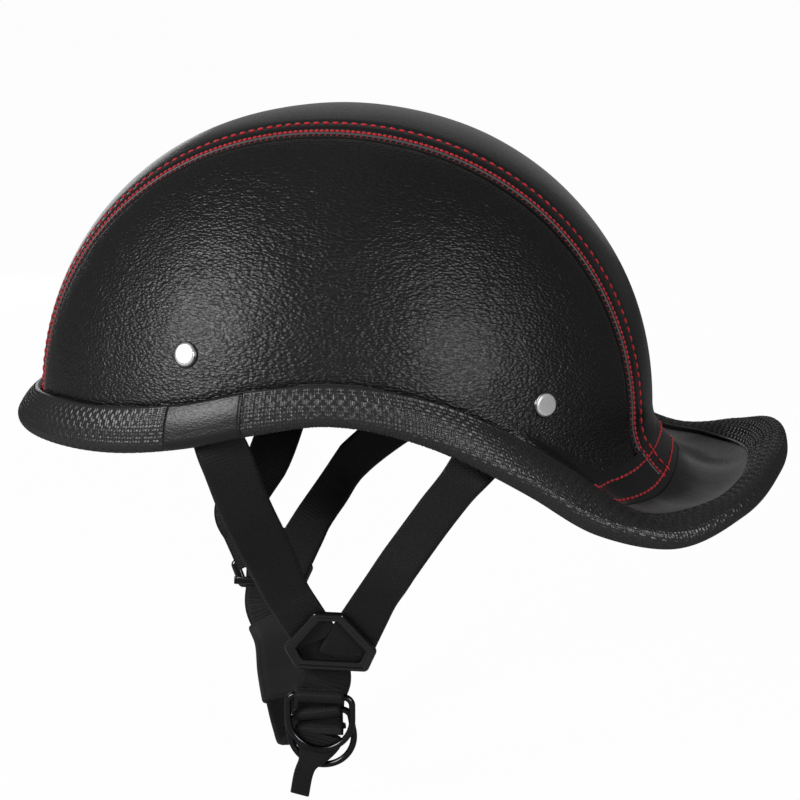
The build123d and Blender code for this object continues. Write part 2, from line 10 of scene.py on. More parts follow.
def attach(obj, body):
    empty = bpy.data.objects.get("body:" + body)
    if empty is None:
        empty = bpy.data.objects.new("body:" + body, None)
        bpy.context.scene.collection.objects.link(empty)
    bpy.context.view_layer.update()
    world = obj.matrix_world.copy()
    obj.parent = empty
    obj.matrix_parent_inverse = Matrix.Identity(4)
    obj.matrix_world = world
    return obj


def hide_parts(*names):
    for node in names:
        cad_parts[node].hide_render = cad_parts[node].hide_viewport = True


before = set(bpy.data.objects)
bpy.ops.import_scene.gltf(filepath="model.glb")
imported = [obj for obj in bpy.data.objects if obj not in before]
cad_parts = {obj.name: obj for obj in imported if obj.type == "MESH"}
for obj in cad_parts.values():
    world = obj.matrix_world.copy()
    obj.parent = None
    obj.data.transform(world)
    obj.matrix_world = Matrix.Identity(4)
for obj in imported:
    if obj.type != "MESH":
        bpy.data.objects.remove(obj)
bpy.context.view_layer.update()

bl_info = {
    "name": "Half shell helmet",
    "version": (1, 0, 0),
    "blender": (4, 5, 0),
    "location": "View3D > Sidebar > Helmet",
    "description": "Dresses the half shell helmet with leather, binding, stitching, webbing and pads",
    "category": "Object",
}

MM = 0.001
sides_of_head = (("left", -1), ("right", 1))

# dome, in millimetres, with +Z up, the brow at -X and the wearer's left at -Y
half_length = 141.5
half_width = 112.0
dome_height = 137.3
dome_power = 2.08

# rim, from the tail round to the brow
rim_azimuths = (0, 10, 20, 30, 38, 46, 57, 70, 84, 100, 116, 132, 152, 180)
brim_reach = 58.0
brim_drop = 40.0
edge_reach_shares = (
    1.0, 1.02, 1.02, 0.86, 0.58, 0.34, 0.175, 0.105, 0.08, 0.08, 0.09, 0.115, 0.165, 0.24,
)
seam_reach_shares = (0.775, 0.77, 0.69, 0.45, 0.20, 0.06) + (0.026,) * 8
edge_height_shares = (
    -0.16, -0.22, -0.48, -0.76, -0.66, -0.28, 0.08, 0.35, 0.46, 0.33, 0.11, -0.05, -0.14, -0.175,
)
seam_height_shares = (
    -0.52, -0.60, -0.68, -0.62, -0.14, 0.22, 0.56, 0.78, 0.86, 0.78, 0.58, 0.43, 0.32, 0.17,
)
brim_rise = 4.0
brim_handle_share = 0.42
rim_tuck = 0.4
brim_sweep = 38.0

# stitching of the rear band: place on the brim's profile, rise to the sides and steeper rise at its ends
upper_band_line = (0.22, 0.28, 0.45)
lower_band_line = (0.355, 0.40, 0.30)
band_spread = 30.0
band_end = (26.0, 10.0)

# edge binding
trim_thickness = 1.8
trim_crown = 0.8
bead_radius = 5.0
trim_inner_leg = 12.0
front_trim_azimuth = 119.0
rear_trim_azimuth = 103.0
patch_proud = 0.5
fine_spacing = 0.4
patch_spacing = 1.5
weave_start = 1.4
weave_fade = 0.6
weave_bead_share = 0.72

# leather
crown_half_width = 40.0
crown_end_half_width = 36.0
seam_reach = 161.5
cover_thickness = 1.5
panel_thickness = 1.3
plate_thickness = 1.1
crown_lift = 0.55
crown_seam_dip = (1.5, 2.3)
crown_thread_dip = (0.35, 1.3)
crown_wave = (0.22, 34.0)
crown_overrun = 0.72
side_lift = 0.75
side_seam_gap = 1.3
side_seam_dip = (1.7, 2.2)
side_foot_dip = (0.9, 2.5)
side_foot_share = 0.12
side_waves = ((0.35, 26.0), (0.14, 9.0))
plate_wave = (0.25, 30.0)
plate_edge_width = 0.22
band_overlap = (-0.07, 0.07)
band_lift = (1.05, 0.6)
cover_overlap = (None, -0.06)
cover_lift = (0.45, 0.4)
seam_over_dome = 0.86
seam_over_band = 0.85
tuck_share = 0.25

# layers inside
depth_wall = 5.5
depth_pad = 20.3
pad_thickness = 7.0
pad_middle = 2.6
pad_back = 2.2
pad_points = 64

# rivets
front_rivet = (-51.3, 42.9)
rear_rivet = (98.0, 21.5)
rivet_proud = 0.35
rivet_sides = 48
rivet_side_height = 1.6
rivet_profile = (
    (0.0, 2.02), (3.4, 2.0), (4.35, 1.94), (4.62, 1.80), (4.75, 1.52), (4.98, 1.46),
    (5.3, 1.40), (5.52, 1.12), (5.6, 0.7), (5.58, 0.25), (5.3, 0.05), (2.2, 0.0),
    (2.0, -0.1), (2.0, -8.3), (1.6, -8.6), (0.0, -8.6),
)

# harness
webbing_width = 23.0
webbing_thickness = 1.4
webbing_step = 0.28
webbing_crown = 0.12
webbing_selvedge = 0.10
divider_thickness = 3.4
divider_running_gap = 0.5
divider_tilt = 15.0
divider_half_width = 21.5
divider_top_half_width = 6.5
divider_top = 16.0
divider_shoulder = -3.5
divider_base_half_width = 16.5
divider_base = -15.2
divider_bar = 4.6
divider_round = 0.75
divider_rim_width = 1.5
divider_fall_width = 1.4
divider_fall_depth = 1.1
divider_corner = 2.8
divider_window_corner = 0.7
bridge_width = 4.0
bridge_thickness = 2.0
bridge_post = 2.0
bridge_inset = 0.35
left_divider_centre = (1.9, -60.0, -97.4)
right_divider_centre = (-48.5, 60.0, -100.0)
front_wall = ((-54.0, 52.0), (-51.3, 42.9), (-46.0, 27.0), (-41.0, 13.0))
rear_wall = ((103.0, 27.0), (98.0, 21.5), (88.0, 12.0), (78.0, 5.0))
front_free = {
    "left": ((-35.0, -100.5, -2.0, 0, 0.25), (-29.4, -92.0, -25.0, 0, 0.4), (-23.0, -79.0, -49.0, 0, 0.5)),
    "right": ((-38.0, 100.5, -2.0, 0, 0.25), (-46.0, 92.0, -28.0, 0, 0.4), (-55.0, 78.0, -56.0, 0, 0.5)),
}
rear_free = {
    "left": ((64.0, -93.0, -7.0, 0.2, 0.25), (50.0, -83.0, -27.0, 0.1, 0.4), (34.0, -72.0, -53.0, 0, 0.45)),
    "right": ((60.0, 95.0, -7.0, 0.2, 0.2), (24.0, 94.0, -27.0, 0.1, 0.4), (-10.3, 85.0, -53.0, 0, 0.5)),
}
front_tail = ((-19.0, 23.5), (-14.3, 14.0), (-9.5, 4.5), (-6.5, -1.5))
rear_tail = ((20.0, 24.0), (15.4, 13.7), (11.0, 3.5), (7.0, -6.0), (4.6, -11.5))
crease_top = (3.9, 11.4)
crease_base = (-9.7, -11.4)
crease_gap = 0.15
strap_base = -13.3
strap_shoulder = (15.6, -7.8)

# rings, their strap, the chin strap and its tail
ring_wire_radius = 1.5
ring_half_width = 15.0
ring_height = 26.0
ring_corner = 4.0
outer_bar = (-4.5, -51.6, -127.2)
inner_bar = (-6.5, -46.4, -137.4)
inner_roll = 10.0
drop_shift = -3.8
drop_top = 1.0
ring_strap_low = -24.3
link_lean = 0.4
drop_end = 5.2
wire_gap = 0.1
chin_shift = 0.8
chin_straight = -23.0
chin_free = (
    (-41.5, 42.0, -134.5), (-36.5, 26.0, -146.0), (-29.6, 5.0, -154.0), (-22.6, -15.0, -158.6),
    (-16.5, -31.0, -160.0), (-12.0, -38.0, -155.6),
)
fold_centre = (-5.6, -45.0, -147.0)
fold_radius = 4.0
tail_free = ((-8.0, -49.0, -156.0), (-12.6, -48.9, -166.0), (-15.3, -47.4, -178.5))
tail_tip_width = 9.0
sleeve_share = (5 / 24, 14 / 24)
sleeve_half_width = 13.4
sleeve_seam_place = 10.6
sleeve_half_thickness = 2.0
sleeve_padding = 0.9

# camera and floor
camera_azimuth = 8.0
camera_elevation = 14.3
camera_distance = 1000.0
camera_target = (25.4, 0.0, 0.9)
focal_pixels = 2150.0
image_pixels = 800.0
floor_height = -186.0
floor_reach = 30.0
sensor_width = 36.0
lamp_aim = (0.02, 0, 0)

# place in metres, diameter in metres and power in watts
lamps = {
    "key_light": ((-0.90, -0.88, 0.48), 0.6, 10.5),
    "fill_light": ((0.80, -1.0, 0.40), 0.55, 6.0),
    "back_light": ((0.0, 1.6, 0.55), 1.5, 1.2),
    "far_light": ((-0.65, 1.15, 0.06), 0.5, 0.8),
    "top_light": ((-0.15, -0.1, 1.5), 0.8, 0.35),
}


class HelmetSizes(bpy.types.PropertyGroup):
    """Sizes of the finish that a user may change"""

    stitch_pitch: FloatProperty(
        name="Stitch pitch", description="Distance between two stitches",
        default=0.0042, unit="LENGTH", precision=5,
    )
    stitch_length: FloatProperty(
        name="Stitch length", description="Visible length of one stitch",
        default=0.0031, unit="LENGTH", precision=5,
    )
    thread_thickness: FloatProperty(
        name="Thread thickness", description="Thickness of the thread",
        default=0.0011, unit="LENGTH", precision=5,
    )
    stitch_inset: FloatProperty(
        name="Stitch inset", description="Top stitching's distance from the seam",
        default=0.0090, unit="LENGTH", precision=5,
    )
    piping_radius: FloatProperty(
        name="Piping radius", description="Radius of the piping in the seam",
        default=0.0006, unit="LENGTH", precision=5,
    )
    emboss_depth: FloatProperty(
        name="Emboss depth", description="Depth of the binding's weave",
        default=0.00065, unit="LENGTH", precision=5,
    )
    emboss_cell: FloatProperty(
        name="Emboss cell", description="Size of one cell of the binding's weave",
        default=0.0024, unit="LENGTH", precision=5,
    )
    emboss_pitch: FloatProperty(
        name="Emboss pitch", description="Distance between two ribs of the weave",
        default=0.0016, unit="LENGTH", precision=5,
    )
    rib_pitch: FloatProperty(
        name="Webbing rib", description="Distance between two ribs of the webbing",
        default=0.0017, unit="LENGTH", precision=5,
    )
    quilt_pitch: FloatProperty(
        name="Quilt pitch", description="Distance between the pads' channels",
        default=0.018, unit="LENGTH", precision=4,
    )
    seed: IntProperty(name="Seed", description="Seed of the leather's slow waves", default=7)


class HelmetColours(bpy.types.PropertyGroup):
    """Colours of the finish that a user may change"""

    leather: FloatVectorProperty(
        name="Leather", description="Colour of the panels' leather", subtype="COLOR", size=3,
        default=(0.0085, 0.0085, 0.009),
    )
    binding: FloatVectorProperty(
        name="Binding", description="Colour of the edge binding", subtype="COLOR", size=3,
        default=(0.022, 0.022, 0.023),
    )
    thread: FloatVectorProperty(
        name="Thread", description="Colour of the stitching", subtype="COLOR", size=3,
        default=(0.62, 0.016, 0.026),
    )
    piping: FloatVectorProperty(
        name="Piping", description="Colour of the piping", subtype="COLOR", size=3,
        default=(0.085, 0.085, 0.09),
    )
    webbing: FloatVectorProperty(
        name="Webbing", description="Colour of the harness", subtype="COLOR", size=3,
        default=(0.0085, 0.0085, 0.0095),
    )
    metal: FloatVectorProperty(
        name="Ring metal", description="Colour of the rings' plating", subtype="COLOR", size=3,
        default=(0.055, 0.055, 0.06),
    )
    backdrop: FloatVectorProperty(
        name="Backdrop", description="Colour of the floor", subtype="COLOR", size=3,
        default=(0.45, 0.45, 0.45),
    )


# shape of the helmet


def rim_value(shares, size, azimuth):
    """Smooth value round the rim, even about the middle plane."""
    turn = abs((azimuth + 180) % 360 - 180)
    knots = [-rim_azimuths[1]] + list(rim_azimuths) + [360 - rim_azimuths[-2]]
    values = [shares[1]] + list(shares) + [shares[-2]]
    place = max(i for i in range(1, len(knots) - 2) if knots[i] <= turn)

    def slope(i):
        before, after = knots[i] - knots[i - 1], knots[i + 1] - knots[i]
        rise_before = (values[i] - values[i - 1]) / before
        rise_after = (values[i + 1] - values[i]) / after
        return (rise_before * after + rise_after * before) / (before + after)

    span = knots[place + 1] - knots[place]
    t = (turn - knots[place]) / span
    start, finish = values[place], values[place + 1]
    bend = (t**3 - 2 * t**2 + t) * slope(place) + (t**3 - t**2) * slope(place + 1)
    return size * (start + (3 * t**2 - 2 * t**3) * (finish - start) + bend * span)


def plan_radius(azimuth, inset=0.0):
    angle = radians(azimuth)
    return 1 / sqrt((cos(angle) / (half_length - inset)) ** 2 + (sin(angle) / (half_width - inset)) ** 2)


def height_share(z, inset=0.0):
    return (1 - abs(z / (dome_height - inset)) ** dome_power) ** (1 / dome_power)


def dome_radius(azimuth, z, inset=0.0):
    return plan_radius(azimuth, inset) * height_share(z, inset)


def outward_at(point, inset=0.0):
    """Outward direction of the dome at a point of it."""
    a, b, h = half_length - inset, half_width - inset, dome_height - inset
    share = sqrt((point[0] / a) ** 2 + (point[1] / b) ** 2)
    lift = share ** (2 - dome_power) * (abs(point[2]) / h) ** (dome_power - 1) / h
    lift = lift if point[2] > 0 else -lift
    return Vector((point[0] / a**2, point[1] / b**2, lift)).normalized()


def dome_point(x, z, side, inset=0.0):
    """Point of the dome at a place along it and a height, with its outward direction."""
    share = height_share(z, inset)
    inner = max(share**2 - (x / (half_length - inset)) ** 2, 0)
    point = Vector((x, side * (half_width - inset) * sqrt(inner), z))
    return point, outward_at(point, inset)


def dome_over(turn, y, inset=0.0):
    """Point of the dome in the upright plane at y, turned from the brow over the crown to the tail."""
    a, b, h = half_length - inset, half_width - inset, dome_height - inset
    low, high = 0.0, 2 * half_length
    for _ in range(42):
        middle = (low + high) / 2
        x, z = -cos(turn) * middle, sin(turn) * middle
        share = sqrt((x / a) ** 2 + (y / b) ** 2)
        if share**dome_power + abs(z / h) ** dome_power > 1:
            high = middle
        else:
            low = middle
    return Vector((-cos(turn) * low, y, sin(turn) * low))


def crown_width(x):
    """Half the crown panel's width, which narrows a little towards its ends."""
    t = min(abs(x) / seam_reach, 1)
    return crown_half_width + (crown_end_half_width - crown_half_width) * (3 * t**2 - 2 * t**3)


def edge_point(azimuth):
    reach = plan_radius(azimuth) + rim_value(edge_reach_shares, brim_reach, azimuth)
    return Vector((reach, rim_value(edge_height_shares, brim_drop, azimuth)))


def seam_point(azimuth):
    z = rim_value(seam_height_shares, brim_drop, azimuth)
    reach = dome_radius(azimuth, max(z, 0)) + rim_value(seam_reach_shares, brim_reach, azimuth)
    return Vector((reach, z))


def brim_root(azimuth):
    """Height at which the brim leaves the dome: a smooth step from its rise to a place over the seam."""
    over_seam = seam_point(azimuth).y + 2 * brim_rise
    middle, apart = (brim_rise + over_seam) / 2, (brim_rise - over_seam) / 2
    return middle + sqrt(apart**2 + brim_rise**2)


def skirt_point(azimuth, t, lift=0.0):
    """Point of the brim's profile, from 0 where it leaves the dome to 1 at the binding's seam and past it."""
    root = brim_root(azimuth)
    top = Vector((dome_radius(azimuth, root) - rim_tuck, root))
    spread = plan_radius(azimuth) / dome_height * height_share(root) ** (1 - dome_power)
    down = Vector((spread * (root / dome_height) ** (dome_power - 1), -1)).normalized()
    seam, edge = seam_point(azimuth), edge_point(azimuth)
    out = (edge - seam).normalized()
    reach = (seam - top).length * brim_handle_share
    first, second = top + down * reach, seam - out * reach
    if t > 1:
        point, along = seam + out * (t - 1) * (seam - top).length, out
    else:
        point = top * (1 - t) ** 3 + first * 3 * t * (1 - t) ** 2
        point = point + second * 3 * t**2 * (1 - t) + seam * t**3
        along = (first - top) * (1 - t) ** 2 + (second - first) * 2 * t * (1 - t) + (seam - second) * t**2
        along = along.normalized()
    return point + Vector((-along.y, along.x)) * lift


def round_the_axis(flat, azimuth):
    """A point of the radial plane, given as reach and height, set in space."""
    angle = radians(azimuth)
    return Vector((flat[0] * cos(angle), flat[0] * sin(angle), flat[1]))


def band_line(azimuth, lower):
    """Place of the rear band's upper or lower stitching, which runs down to the binding at its ends."""
    middle, rise, end_rise = lower_band_line if lower else upper_band_line
    spread = (abs(azimuth) / band_spread) ** 2
    steep = (max(abs(azimuth) - band_end[0], 0) / band_end[1]) ** 2
    return middle + rise * spread + end_rise * steep


def skirt_over(y, t, lift=0.0):
    """Point of the brim at a distance from the middle plane, with its azimuth."""
    azimuth = 0.0
    lift += rim_tuck * max(0.0, 1 - t / tuck_share)
    for _ in range(8):
        azimuth = degrees(asin(y / skirt_point(azimuth, t, lift)[0]))
    return round_the_axis(skirt_point(azimuth, t, lift), azimuth), azimuth


def crown_turns():
    """Turns at which the dome under the crown panel starts at the brow and ends at the brim's root."""
    return radians(2.0), pi - radians(1.7)


def crown_place(along, y, lift):
    """Point over the crown and its outward direction, from 0 at the brow and 1 at the brim's root to 2 at
    the rear band's lower stitching."""
    start, finish = crown_turns()
    if along <= 1:
        point = dome_over(start + (finish - start) * along, y)
        normal = outward_at(point)
        return point + normal * lift, normal
    lower = band_line(degrees(asin(y / 148.0)), True)
    t = 0.02 + (along - 1) * (lower - 0.02)
    point = skirt_over(y, t, lift)[0]
    normal = (skirt_over(y, t, lift + 1)[0] - point).normalized()
    return point, normal


def slow_wave(point, wave, seed):
    """Gentle rise and fall over the leather, of a given height and size."""
    height, size = wave
    return height * noise.noise(Vector(point) / size + Vector((seed, 0.3 * seed, 0.7 * seed)))


def held(value):
    """A share kept between 0 and 1."""
    return min(max(value, 0), 1)


def ease(share):
    """A share that starts and ends gently."""
    return share * share * (3 - 2 * share)


def dip(distance, size):
    """Depth of a groove with a given depth and width, beside its line."""
    depth, width = size
    return depth * float(np.exp(-((distance / width) ** 2)))


# meshes


def new_object(name, data):
    """Object of the scene with the given mesh, lamp or camera."""
    made = bpy.data.objects.new(name, data)
    bpy.context.scene.collection.objects.link(made)
    return made


def mesh_object(name, bm):
    """Object of the scene with what a bmesh holds."""
    mesh = bpy.data.meshes.new(name)
    bm.to_mesh(mesh)
    bm.free()
    return new_object(name, mesh)


def grid_mesh(name, points, places=None, loop=False, cap=False):
    """Mesh of a grid of points in millimetres, with rows along it and columns across it."""
    rows, columns = points.shape[:2]
    index = np.arange(rows * columns).reshape(rows, columns)
    if loop:
        index = np.concatenate([index, index[:, :1]], axis=1)
    corners = [index[:-1, :-1], index[:-1, 1:], index[1:, 1:], index[1:, :-1]]
    faces = np.stack(corners, axis=-1).reshape(-1, 4).tolist()
    if cap:
        faces.append(index[0, :columns][::-1].tolist())
        faces.append(index[-1, :columns].tolist())
    mesh = bpy.data.meshes.new(name)
    mesh.from_pydata((points.reshape(-1, 3) * MM).tolist(), [], faces)
    if places is not None:
        layer = mesh.uv_layers.new(name="Surface")
        corner = np.zeros(len(mesh.loops), dtype=np.int64)
        mesh.loops.foreach_get("vertex_index", corner)
        layer.data.foreach_set("uv", (places.reshape(-1, 2) * MM)[corner].astype(np.float32).ravel())
    mesh.shade_smooth()
    mesh.validate()
    return new_object(name, mesh)


def face_outwards(made, weld=False):
    """Turns the faces of a closed mesh so that they look out, with its double points merged if asked."""
    bm = bmesh.new()
    bm.from_mesh(made.data)
    if weld:
        bmesh.ops.remove_doubles(bm, verts=bm.verts, dist=1e-7)
    bmesh.ops.recalc_face_normals(bm, faces=bm.faces)
    bm.to_mesh(made.data)
    bm.free()


def look_out(made):
    """Turns the faces of an open sheet away from the middle of the head."""
    middle = Vector((0, 0, -300)) * MM
    turned = sum(face.area * face.normal.dot(face.center - middle) for face in made.data.polygons)
    if turned < 0:
        made.data.flip_normals()


def thicken(made, thickness):
    """Gives a leather sheet its thickness, inwards."""
    look_out(made)
    wall = made.modifiers.new("Leather thickness", "SOLIDIFY")
    wall.thickness = thickness * MM
    wall.offset = -1


def join_as(name, parts):
    """One object from several."""
    bm = bmesh.new()
    materials = []
    for part in parts:
        bm.from_mesh(part.data)
        materials += [material for material in part.data.materials if material not in materials]
    for part in parts:
        bpy.data.objects.remove(part)
    made = mesh_object(name, bm)
    for material in materials:
        made.data.materials.append(material)
    return made


def finish_piece(made, material, body, nodes=()):
    """Gives a piece its material, its body and the CAD nodes that it stands for."""
    if material is not None:
        made.data.materials.clear()
        made.data.materials.append(material)
    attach(made, body)
    if nodes:
        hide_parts(*nodes)
    return made


def smooth_path(stations, step):
    """Even points on a smooth curve through stations, with the vectors carried along with them."""
    centres = np.array([list(place) for place, face in stations], float)
    faces = None
    if stations[0][1] is not None:
        faces = np.array([list(face) for place, face in stations], float)
    knots = [0.0]
    for before, after in zip(centres[:-1], centres[1:]):
        knots.append(knots[-1] + sqrt(np.linalg.norm(after - before)))
    padded = np.concatenate([[2 * centres[0] - centres[1]], centres, [2 * centres[-1] - centres[-2]]])
    times = [2 * knots[0] - knots[1]] + knots + [2 * knots[-1] - knots[-2]]
    points, carried = [], []
    for i in range(1, len(padded) - 2):
        t0, t1, t2, t3 = times[i - 1 : i + 3]
        p0, p1, p2, p3 = padded[i - 1 : i + 3]
        count = max(int(np.linalg.norm(p2 - p1) / step * 3), 4)
        for n in range(count + (i == len(padded) - 3)):
            t = t1 + (t2 - t1) * n / count
            a1 = p0 * (t1 - t) / (t1 - t0) + p1 * (t - t0) / (t1 - t0)
            a2 = p1 * (t2 - t) / (t2 - t1) + p2 * (t - t1) / (t2 - t1)
            a3 = p2 * (t3 - t) / (t3 - t2) + p3 * (t - t2) / (t3 - t2)
            b1 = a1 * (t2 - t) / (t2 - t0) + a2 * (t - t0) / (t2 - t0)
            b2 = a2 * (t3 - t) / (t3 - t1) + a3 * (t - t1) / (t3 - t1)
            points.append(b1 * (t2 - t) / (t2 - t1) + b2 * (t - t1) / (t2 - t1))
            if faces is not None:
                share = ease((t - t1) / (t2 - t1))
                carried.append(faces[i - 1] * (1 - share) + faces[min(i, len(faces) - 1)] * share)
    points = np.array(points)
    lengths = np.concatenate([[0], np.cumsum(np.linalg.norm(np.diff(points, axis=0), axis=1))])
    even = np.linspace(0, lengths[-1], max(int(lengths[-1] / step), 3))
    places = np.stack([np.interp(even, lengths, points[:, k]) for k in range(3)], axis=1)
    if faces is None:
        return places, None, even
    carried = np.array(carried)
    looks = np.stack([np.interp(even, lengths, carried[:, k]) for k in range(3)], axis=1)
    return places, looks, even


def strap_frames(places, looks):
    """Along, across and outward directions at each point of a strap."""
    along = np.gradient(places, axis=0)
    along /= np.linalg.norm(along, axis=1)[:, None]
    if looks is None:
        across = np.array([1.0, 0, 0]) - along * along[:, :1]
    else:
        across = np.cross(looks, along)
    across /= np.linalg.norm(across, axis=1)[:, None]
    outward = np.cross(along, across)
    return along, across, outward


def webbing_mesh(name, stations, rib_pitch, tip_width=None):
    """Flat woven strap with rounded selvedges and ribs across it."""
    places, looks, even = smooth_path(stations, webbing_step)
    _, across, outward = strap_frames(places, looks)
    columns = 15
    steps = [-1 + 2 * i / (columns - 1) for i in range(columns)]
    shape = [(v, 1) for v in steps] + [(1 - 2 * i / (columns - 1), -1) for i in range(columns)]
    wide = np.full(len(places), webbing_width / 2.0)
    if tip_width is not None:
        narrowing = ease(np.clip((even / even[-1] - 0.05) / 0.5, 0, 1))
        wide = wide + (tip_width - webbing_width) / 2.0 * narrowing
    grid = np.zeros((len(places), len(shape), 3))
    uv = np.zeros((len(places), len(shape), 2))
    wave = np.abs(np.cos(np.pi * even / rib_pitch))
    for k, (v, up) in enumerate(shape):
        round_off = sqrt(max(1 - (abs(v) ** 10), 0.0)) if abs(v) < 1 else 0.0
        selvedge = webbing_selvedge if abs(v) > 0.83 else 0.0
        ribs = webbing_crown * wave * (1 if abs(v) < 0.86 else 0.35)
        height = up * ((webbing_thickness / 2 - webbing_crown + selvedge + ribs) * round_off)
        grid[:, k] = places + across * (wide * v)[:, None] + outward * height[:, None]
        uv[:, k, 0] = even
        uv[:, k, 1] = wide * v + (0 if up > 0 else 2 * webbing_width)
    made = grid_mesh(name, grid, uv, loop=True, cap=True)
    face_outwards(made, weld=True)
    return made


def cut_away(made, origin, outwards):
    """Removes what lies beyond a plane and closes the cut."""
    bm = bmesh.new()
    bm.from_mesh(made.data)
    everything = bm.verts[:] + bm.edges[:] + bm.faces[:]
    cut = bmesh.ops.bisect_plane(
        bm, geom=everything, plane_co=Vector(origin) * MM, plane_no=outwards, clear_outer=True
    )
    edges = [e for e in cut["geom_cut"] if isinstance(e, bmesh.types.BMEdge)]
    bmesh.ops.holes_fill(bm, edges=edges, sides=0)
    bm.to_mesh(made.data)
    bm.free()


def tube_mesh(name, places, radius, sides, loop=False):
    """Round wire or piping along even points."""
    places = np.array(places, float)
    if loop:
        along = np.roll(places, -1, axis=0) - np.roll(places, 1, axis=0)
    else:
        along = np.gradient(places, axis=0)
    along /= np.linalg.norm(along, axis=1)[:, None]
    reference = np.array([0.0, 1.0, 0.0]) if loop else np.array([0.0, 0.0, 1.0])
    across = np.cross(along, reference)
    across /= np.linalg.norm(across, axis=1)[:, None]
    other = np.cross(along, across)
    grid = np.zeros((len(places), sides, 3))
    for k in range(sides):
        angle = 2 * pi * k / sides
        grid[:, k] = places + radius * (across * cos(angle) + other * sin(angle))
    if loop:
        grid = np.concatenate([grid, grid[:1]])
    made = grid_mesh(name, grid, loop=True, cap=not loop)
    face_outwards(made, weld=True)
    return made


class Plane:
    """A plane with its own across, up and outward directions."""

    def __init__(self, origin, x_dir, z_dir):
        self.origin = Vector(origin)
        self.x_dir = Vector(x_dir).normalized()
        self.z_dir = Vector(z_dir).normalized()
        self.y_dir = self.z_dir.cross(self.x_dir)

    def at(self, x, y, z=0.0):
        return self.origin + self.x_dir * x + self.y_dir * y + self.z_dir * z


def divider_plane(side, centre):
    lean = radians(divider_tilt)
    return Plane(centre, (-side, 0, 0), (0, side * cos(lean), -sin(lean)))


def ring_plane(bar, roll):
    return Plane(bar, (cos(radians(roll)), 0, sin(radians(roll))), (0, -1, 0))


strap_layer = -divider_thickness / 2 - divider_running_gap - webbing_thickness / 2
drop_layer = strap_layer - divider_running_gap - webbing_thickness


# shader groups


def new_group(name, inputs, outputs, kind="ShaderNodeTree"):
    """Empty node group with named sockets, and its two ends."""
    group = bpy.data.node_groups.new(name, kind)
    for label, socket_kind, value in inputs:
        socket = group.interface.new_socket(name=label, in_out="INPUT", socket_type=socket_kind)
        if value is not None:
            socket.default_value = value
    for label, socket_kind in outputs:
        group.interface.new_socket(name=label, in_out="OUTPUT", socket_type=socket_kind)
    start = group.nodes.new("NodeGroupInput")
    end = group.nodes.new("NodeGroupOutput")
    return group, start, end


def add_node(tree, kind, inputs, **settings):
    """Node with its settings, and with inputs that are sockets or plain values."""
    node = tree.nodes.new(kind)
    for name, value in settings.items():
        setattr(node, name, value)
    for name, value in inputs.items():
        if isinstance(value, bpy.types.NodeSocket):
            tree.links.new(value, node.inputs[name])
        else:
            node.inputs[name].default_value = value
    return node


def noise_node(tree, vector, scale, detail):
    """Noise of a given scale and detail."""
    return add_node(tree, "ShaderNodeTexNoise", {"Vector": vector, "Scale": scale, "Detail": detail})


def vector_node(tree, operation, inputs):
    """Result of a vector operation."""
    return add_node(tree, "ShaderNodeVectorMath", inputs, operation=operation).outputs[0]


def math_node(tree, operation, first, second=None, clamp=False):
    """Math node whose inputs are sockets or numbers."""
    node = tree.nodes.new("ShaderNodeMath")
    node.operation = operation
    node.use_clamp = clamp
    for socket, value in zip(node.inputs, (first, second)):
        if value is None:
            continue
        if isinstance(value, (int, float)):
            socket.default_value = value
        else:
            tree.links.new(value, socket)
    return node.outputs[0]


def leather_grain_group():
    """Pebbled grain: rounded cells with fine creases and pores between them."""
    group, start, end = new_group(
        "Leather grain",
        [("Vector", "NodeSocketVector", None), ("Cell size", "NodeSocketFloat", 0.0015),
         ("Crease", "NodeSocketFloat", 0.5), ("Wrinkle", "NodeSocketFloat", 0.4)],
        [("Height", "NodeSocketFloat"), ("Polish", "NodeSocketFloat")],
    )
    density = math_node(group, "DIVIDE", 1.0, start.outputs["Cell size"])
    scaled = vector_node(group, "SCALE", {0: start.outputs["Vector"], "Scale": density})
    stretched = vector_node(group, "MULTIPLY", {0: scaled, 1: (0.66, 1.0, 1.35)})
    warp = noise_node(group, stretched, 0.8, 2.0).outputs["Color"]
    mixed = vector_node(group, "MULTIPLY_ADD", {0: warp, 1: (0.9, 0.9, 0.9), 2: stretched})
    inputs = {"Vector": mixed, "Scale": 1.0, "Smoothness": 0.35}
    cells = add_node(group, "ShaderNodeTexVoronoi", inputs, feature="SMOOTH_F1")
    falling = math_node(group, "POWER", cells.outputs["Distance"], 1.6)
    rounded = math_node(group, "SUBTRACT", 1.0, falling, True)
    creases = math_node(group, "MULTIPLY", rounded, start.outputs["Crease"])
    slow = noise_node(group, stretched, 0.16, 4.0)
    wrinkles = math_node(group, "MULTIPLY", slow.outputs["Fac"], start.outputs["Wrinkle"])
    fine = noise_node(group, stretched, 5.0, 2.0)
    pores = math_node(group, "MULTIPLY", fine.outputs["Fac"], 0.12)
    total = math_node(group, "ADD", math_node(group, "ADD", creases, wrinkles), pores)
    group.links.new(total, end.inputs["Height"])
    group.links.new(rounded, end.inputs["Polish"])
    return group


